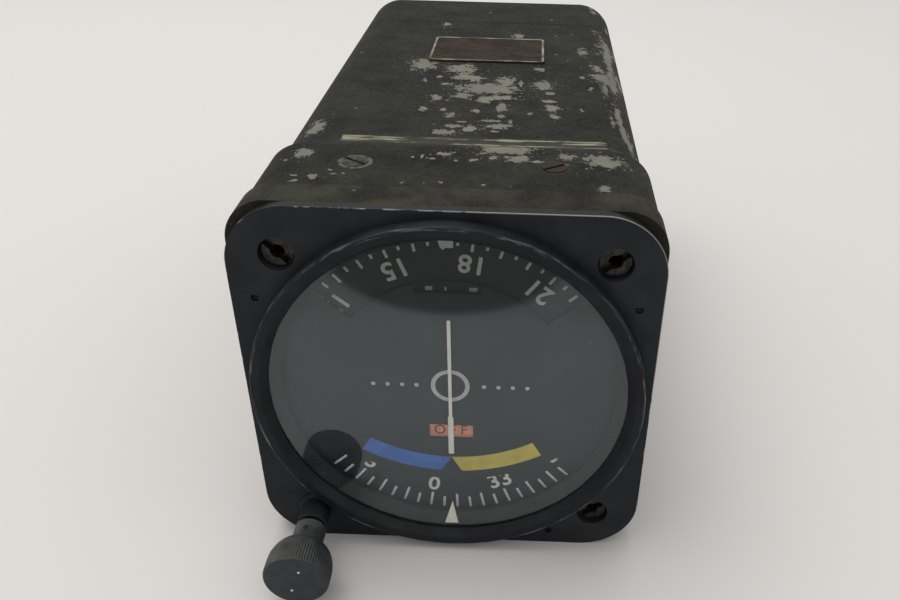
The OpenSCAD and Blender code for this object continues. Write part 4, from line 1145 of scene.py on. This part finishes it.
@dataclass
class Flags:
    """Letters on the OFF flag and the marks on the to and from flag.

    Attributes:
        letter_h: Height of the letters.
        letter_places: X of each letter.
        letter_z: Height of their middle.
        ink: Thickness of the ink.
        marks: X of each white mark's start and end on the to and from flag.
        mark_h: Height of a mark.
        mark_in: Distance of the marks below the flag's upper edge.
    """

    letter_h: float = 2.5
    letter_places: tuple[tuple[str, float], ...] = (("O", -2.5), ("F", 0.25), ("F", 2.75))
    letter_z: float = -12.3
    ink: float = 0.03
    marks: tuple[Pair, ...] = ((-4.6, -3.2), (-0.8, -0.4), (4.0, 5.6))
    mark_h: float = 1.5
    mark_in: float = 0.3

    def build(self) -> None:
        """Letter the OFF flag and mark the other one."""
        dress(Finish.SALMON, "off_flag")
        dress(Finish.DIAL, "tofrom_flag")
        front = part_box("off_flag")[0].y / MM
        letters = bmesh.new()
        lettering = Lettering(self.letter_h, self.ink)
        for letter, across in self.letter_places:
            lettering.add(letters, letter, Matrix.Translation((across, front - self.ink / 2, self.letter_z)))
        add_piece("off_letters", letters, Finish.BLACK_INK, Body.OFF)
        low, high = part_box("tofrom_flag")
        shape = bmesh.new()
        middle_z = high.z / MM - self.mark_h / 2 - self.mark_in
        for start, end in self.marks:
            place = Matrix.Translation(((start + end) / 2, low.y / MM - self.ink / 2, middle_z))
            add_bar(shape, (end - start, self.ink, self.mark_h), place)
        add_piece("tofrom_marks", shape, Finish.WHITE_INK, Body.TOFROM)


@dataclass
class Face:
    """The face plate and all that shows round the dial."""

    def build(self) -> None:
        """Dress the face."""
        dress(Finish.FACE, "face_plate")
        dress(Finish.BEZEL, "bezel_ring", "knob_bushing")
        dress(Finish.INNER_RING, "index_ring", "front_plate")
        dress(Finish.GLASS, "cover_glass")
        dress(Finish.CREAM, "course_pointer")
        dress(Finish.WHITE_INK, "reciprocal_mark")
        dress(Finish.BLACKENED, "face_screws", "mounting_inserts")
        dress(Finish.DIAL, "dial_mask", "course_card", "mask_posts")
        dress(Finish.NEEDLE_WHITE, "deviation_needle")


@dataclass
class Knob:
    """The course knob and its shaft.

    Attributes:
        dot_r: Radius of the two dots on the knob's front.
        dot_off: Distance of each dot from the knob's axis.
        dot_turn: How far their line leans from upright, in degrees.
        ink: Thickness of a dot.
    """

    dot_r: float = 0.28
    dot_off: float = 2.9
    dot_turn: float = 20.0
    ink: float = 0.05

    def build(self) -> None:
        """Dress the knob and set its dots."""
        dress(Finish.KNOB, "course_knob")
        dress(Finish.STEEL, "knob_shaft", "shaft_clip", "bushing_nut", "knob_set_screws")
        dress(Finish.BRASS, "knob_pinion", "rear_pinion")
        low, high = (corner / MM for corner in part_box("course_knob"))
        centre = (low + high) / 2
        lean = Matrix.Rotation(math.radians(self.dot_turn), 3, "Y")
        shape = bmesh.new()
        for side in (-1, 1):
            spot = centre + lean @ Vector((0, 0, side * self.dot_off))
            add_disc(shape, self.dot_r, self.ink, (spot.x, low.y - self.ink / 2, spot.z))
        add_piece("knob_dots", shape, Finish.WHITE_INK, Body.KNOB)


@dataclass
class Housing:
    """The casting, the cover, the rear cap, the connector and the bare data plate.

    Attributes:
        border_w: Width of the data plate's raised border.
        border_h: Its height.
        border_in: Distance of the border inside the plate's edge.
        corner_r: Radius of its corners.
    """

    border_w: float = 0.6
    border_h: float = 0.12
    border_in: float = 0.25
    corner_r: float = 1.2

    def build(self) -> None:
        """Dress the shells and raise the plate's border."""
        dress(Finish.CASTING, "front_casting")
        dress(Finish.CASE, "case_cover", "rear_cap")
        dress(Finish.SCREW, "cover_screws")
        dress(Finish.PLATED, "cap_screws", "connector_screws")
        dress(Finish.PLATE, "data_plate")
        dress(Finish.CONNECTOR, "connector_shell")
        dress(Finish.INSULATOR, "connector_insert")
        dress(Finish.GOLD, "connector_contacts")
        low, high = (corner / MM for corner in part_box("data_plate"))
        size = high - low - Vector((2 * self.border_in, 2 * self.border_in, 0))
        shape = bmesh.new()
        middle = Matrix.Translation((*((low + high) / 2).xy, high.z))
        place = middle @ Matrix.Diagonal((size.x, size.y, 1, 1))
        bmesh.ops.create_grid(shape, x_segments=1, y_segments=1, size=0.5, matrix=place)
        bmesh.ops.bevel(
            shape, geom=shape.verts[:], offset=self.corner_r, segments=5, profile=0.5, affect="VERTICES",
            material=-1,
        )
        inner = shape.faces[:]
        bmesh.ops.inset_region(
            shape, faces=inner, thickness=self.border_w, use_even_offset=True, use_boundary=True,
        )
        bmesh.ops.delete(shape, geom=inner, context="FACES_ONLY")
        raise_faces(shape, Vector((0, 0, self.border_h)))
        add_piece("data_plate_border", shape, Finish.BORDER)


@dataclass
class Movement:
    """The works inside: plates, posts, gears, meters and resolver."""

    def build(self) -> None:
        """Dress the works."""
        dress(
            Finish.ALUMINIUM, "rear_plate", "frame_posts", "rear_posts", "resolver_plate",
            "resolver_standoffs", "resolver_body",
        )
        dress(
            Finish.BRASS, "card_gear", "idler_gear", "resolver_gear", "card_bearing_ring",
            "card_retaining_ring", "needle_hairspring",
        )
        dress(
            Finish.STEEL, "idler_stud", "resolver_shaft", "resolver_cleats", "needle_cup", "needle_rotor",
            "off_cup", "off_rotor", "tofrom_cup", "tofrom_rotor", "front_plate_screws",
        )
        dress(Finish.COPPER, "needle_coil", "off_coil", "tofrom_coil")


@dataclass
class Stage:
    """Floor, lights and camera.

    Attributes:
        floor: Colour of the floor.
        floor_rough: Its roughness.
        floor_half: Half the floor's width in metres.
        sky: Strength of the world's even light.
        lamp_power: Power of the lamp in watts.
        lamp_size: Its width in metres.
        lamp_place: Where it hangs, in metres.
        lamp_aim: What it points at, in metres.
        eye: Place of the camera, in millimetres.
        pitch: Its tilt below the horizon in radians.
        yaw: Its turn to the side in radians.
        roll: Its lean round the lens axis in radians.
        focal_px: Focal length in pixels.
        middle_px: Where the lens axis meets the frame.
        frame_px: Size of the frame in pixels.
        sensor: Width of the sensor in millimetres.
        clip: Nearest and farthest that the camera sees, in metres.
    """

    floor: str = "#e2deda"
    floor_rough: float = 0.7
    floor_half: float = 3.0
    sky: float = 0.67
    lamp_power: float = 5.8
    lamp_size: float = 0.9
    lamp_place: Triple = (-0.25, 0.25, 1.1)
    lamp_aim: Triple = (0, 0.05, 0)
    eye: Triple = (14.895, -141.174, 108.939)
    pitch: float = 0.5886
    yaw: float = -0.0190
    roll: float = -0.0234
    focal_px: float = 872.36
    middle_px: Pair = (509.96, 337.87)
    frame_px: tuple[int, int] = (900, 600)
    sensor: float = 36.0
    clip: Pair = (0.01, 20.0)

    def build(self) -> None:
        """Lay the floor, hang the lamp and set the camera."""
        self.lay_floor()
        self.light()
        self.set_camera()

    def lay_floor(self) -> None:
        """A plain pale floor under the face plate's lower edge."""
        shape = bmesh.new()
        bmesh.ops.create_grid(shape, x_segments=1, y_segments=1, size=self.floor_half)
        mesh = bpy.data.meshes.new("floor")
        shape.to_mesh(mesh)
        shape.free()
        floor = bpy.data.objects.new("floor", mesh)
        floor.location.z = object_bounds()[0].z
        bpy.context.scene.collection.objects.link(floor)
        graph = Graph("pale_floor")
        skin = {"Base Color": linear(self.floor), "Roughness": self.floor_rough}
        mesh.materials.append(graph.close(graph.add("BsdfPrincipled", named=skin)))
        floor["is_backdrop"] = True

    def light(self) -> None:
        """Even light from all round and one broad soft lamp above."""
        world = bpy.data.worlds.new("soft_room")
        world.use_nodes = True
        background = world.node_tree.nodes["Background"]
        background.inputs["Color"].default_value = linear("#ffffff")
        background.inputs["Strength"].default_value = self.sky
        bpy.context.scene.world = world
        lamp = bpy.data.lights.new("ceiling_lamp", "AREA")
        lamp.size = self.lamp_size
        lamp.energy = self.lamp_power
        holder = bpy.data.objects.new("ceiling_lamp", lamp)
        holder.location = self.lamp_place
        aim = Vector(self.lamp_aim) - holder.location
        holder.rotation_euler = aim.to_track_quat("-Z", "Y").to_euler()
        bpy.context.scene.collection.objects.link(holder)

    def set_camera(self) -> None:
        """A camera at the photograph's viewing angle."""
        lens = bpy.data.cameras.new("camera")
        lens.sensor_width = self.sensor
        lens.lens = self.focal_px * self.sensor / self.frame_px[0]
        lens.shift_x = (self.frame_px[0] / 2 - self.middle_px[0]) / self.frame_px[0]
        lens.shift_y = (self.middle_px[1] - self.frame_px[1] / 2) / self.frame_px[0]
        lens.clip_start, lens.clip_end = self.clip
        camera = bpy.data.objects.new("camera", lens)
        turn = Matrix.Rotation(-self.yaw, 4, "Z")
        tilt = Matrix.Rotation(math.pi / 2 - self.pitch, 4, "X")
        lean = Matrix.Rotation(-self.roll, 4, "Z")
        camera.matrix_world = Matrix.Translation(Vector(self.eye) * MM) @ turn @ tilt @ lean
        bpy.context.scene.collection.objects.link(camera)
        bpy.context.scene.camera = camera


def main() -> None:
    """Dress the indicator, add its printed marks and set the stage."""
    logging.basicConfig(level=logging.INFO, format="%(name)s: %(message)s")
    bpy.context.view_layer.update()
    bpy.context.scene.view_settings.view_transform = "Standard"
    Stage().build()
    for assembly in (Face(), DialPrinting(), CardPrinting(), Flags(), Knob(), Housing(), Movement()):
        assembly.build()


if __name__ == "__main__":
    main()
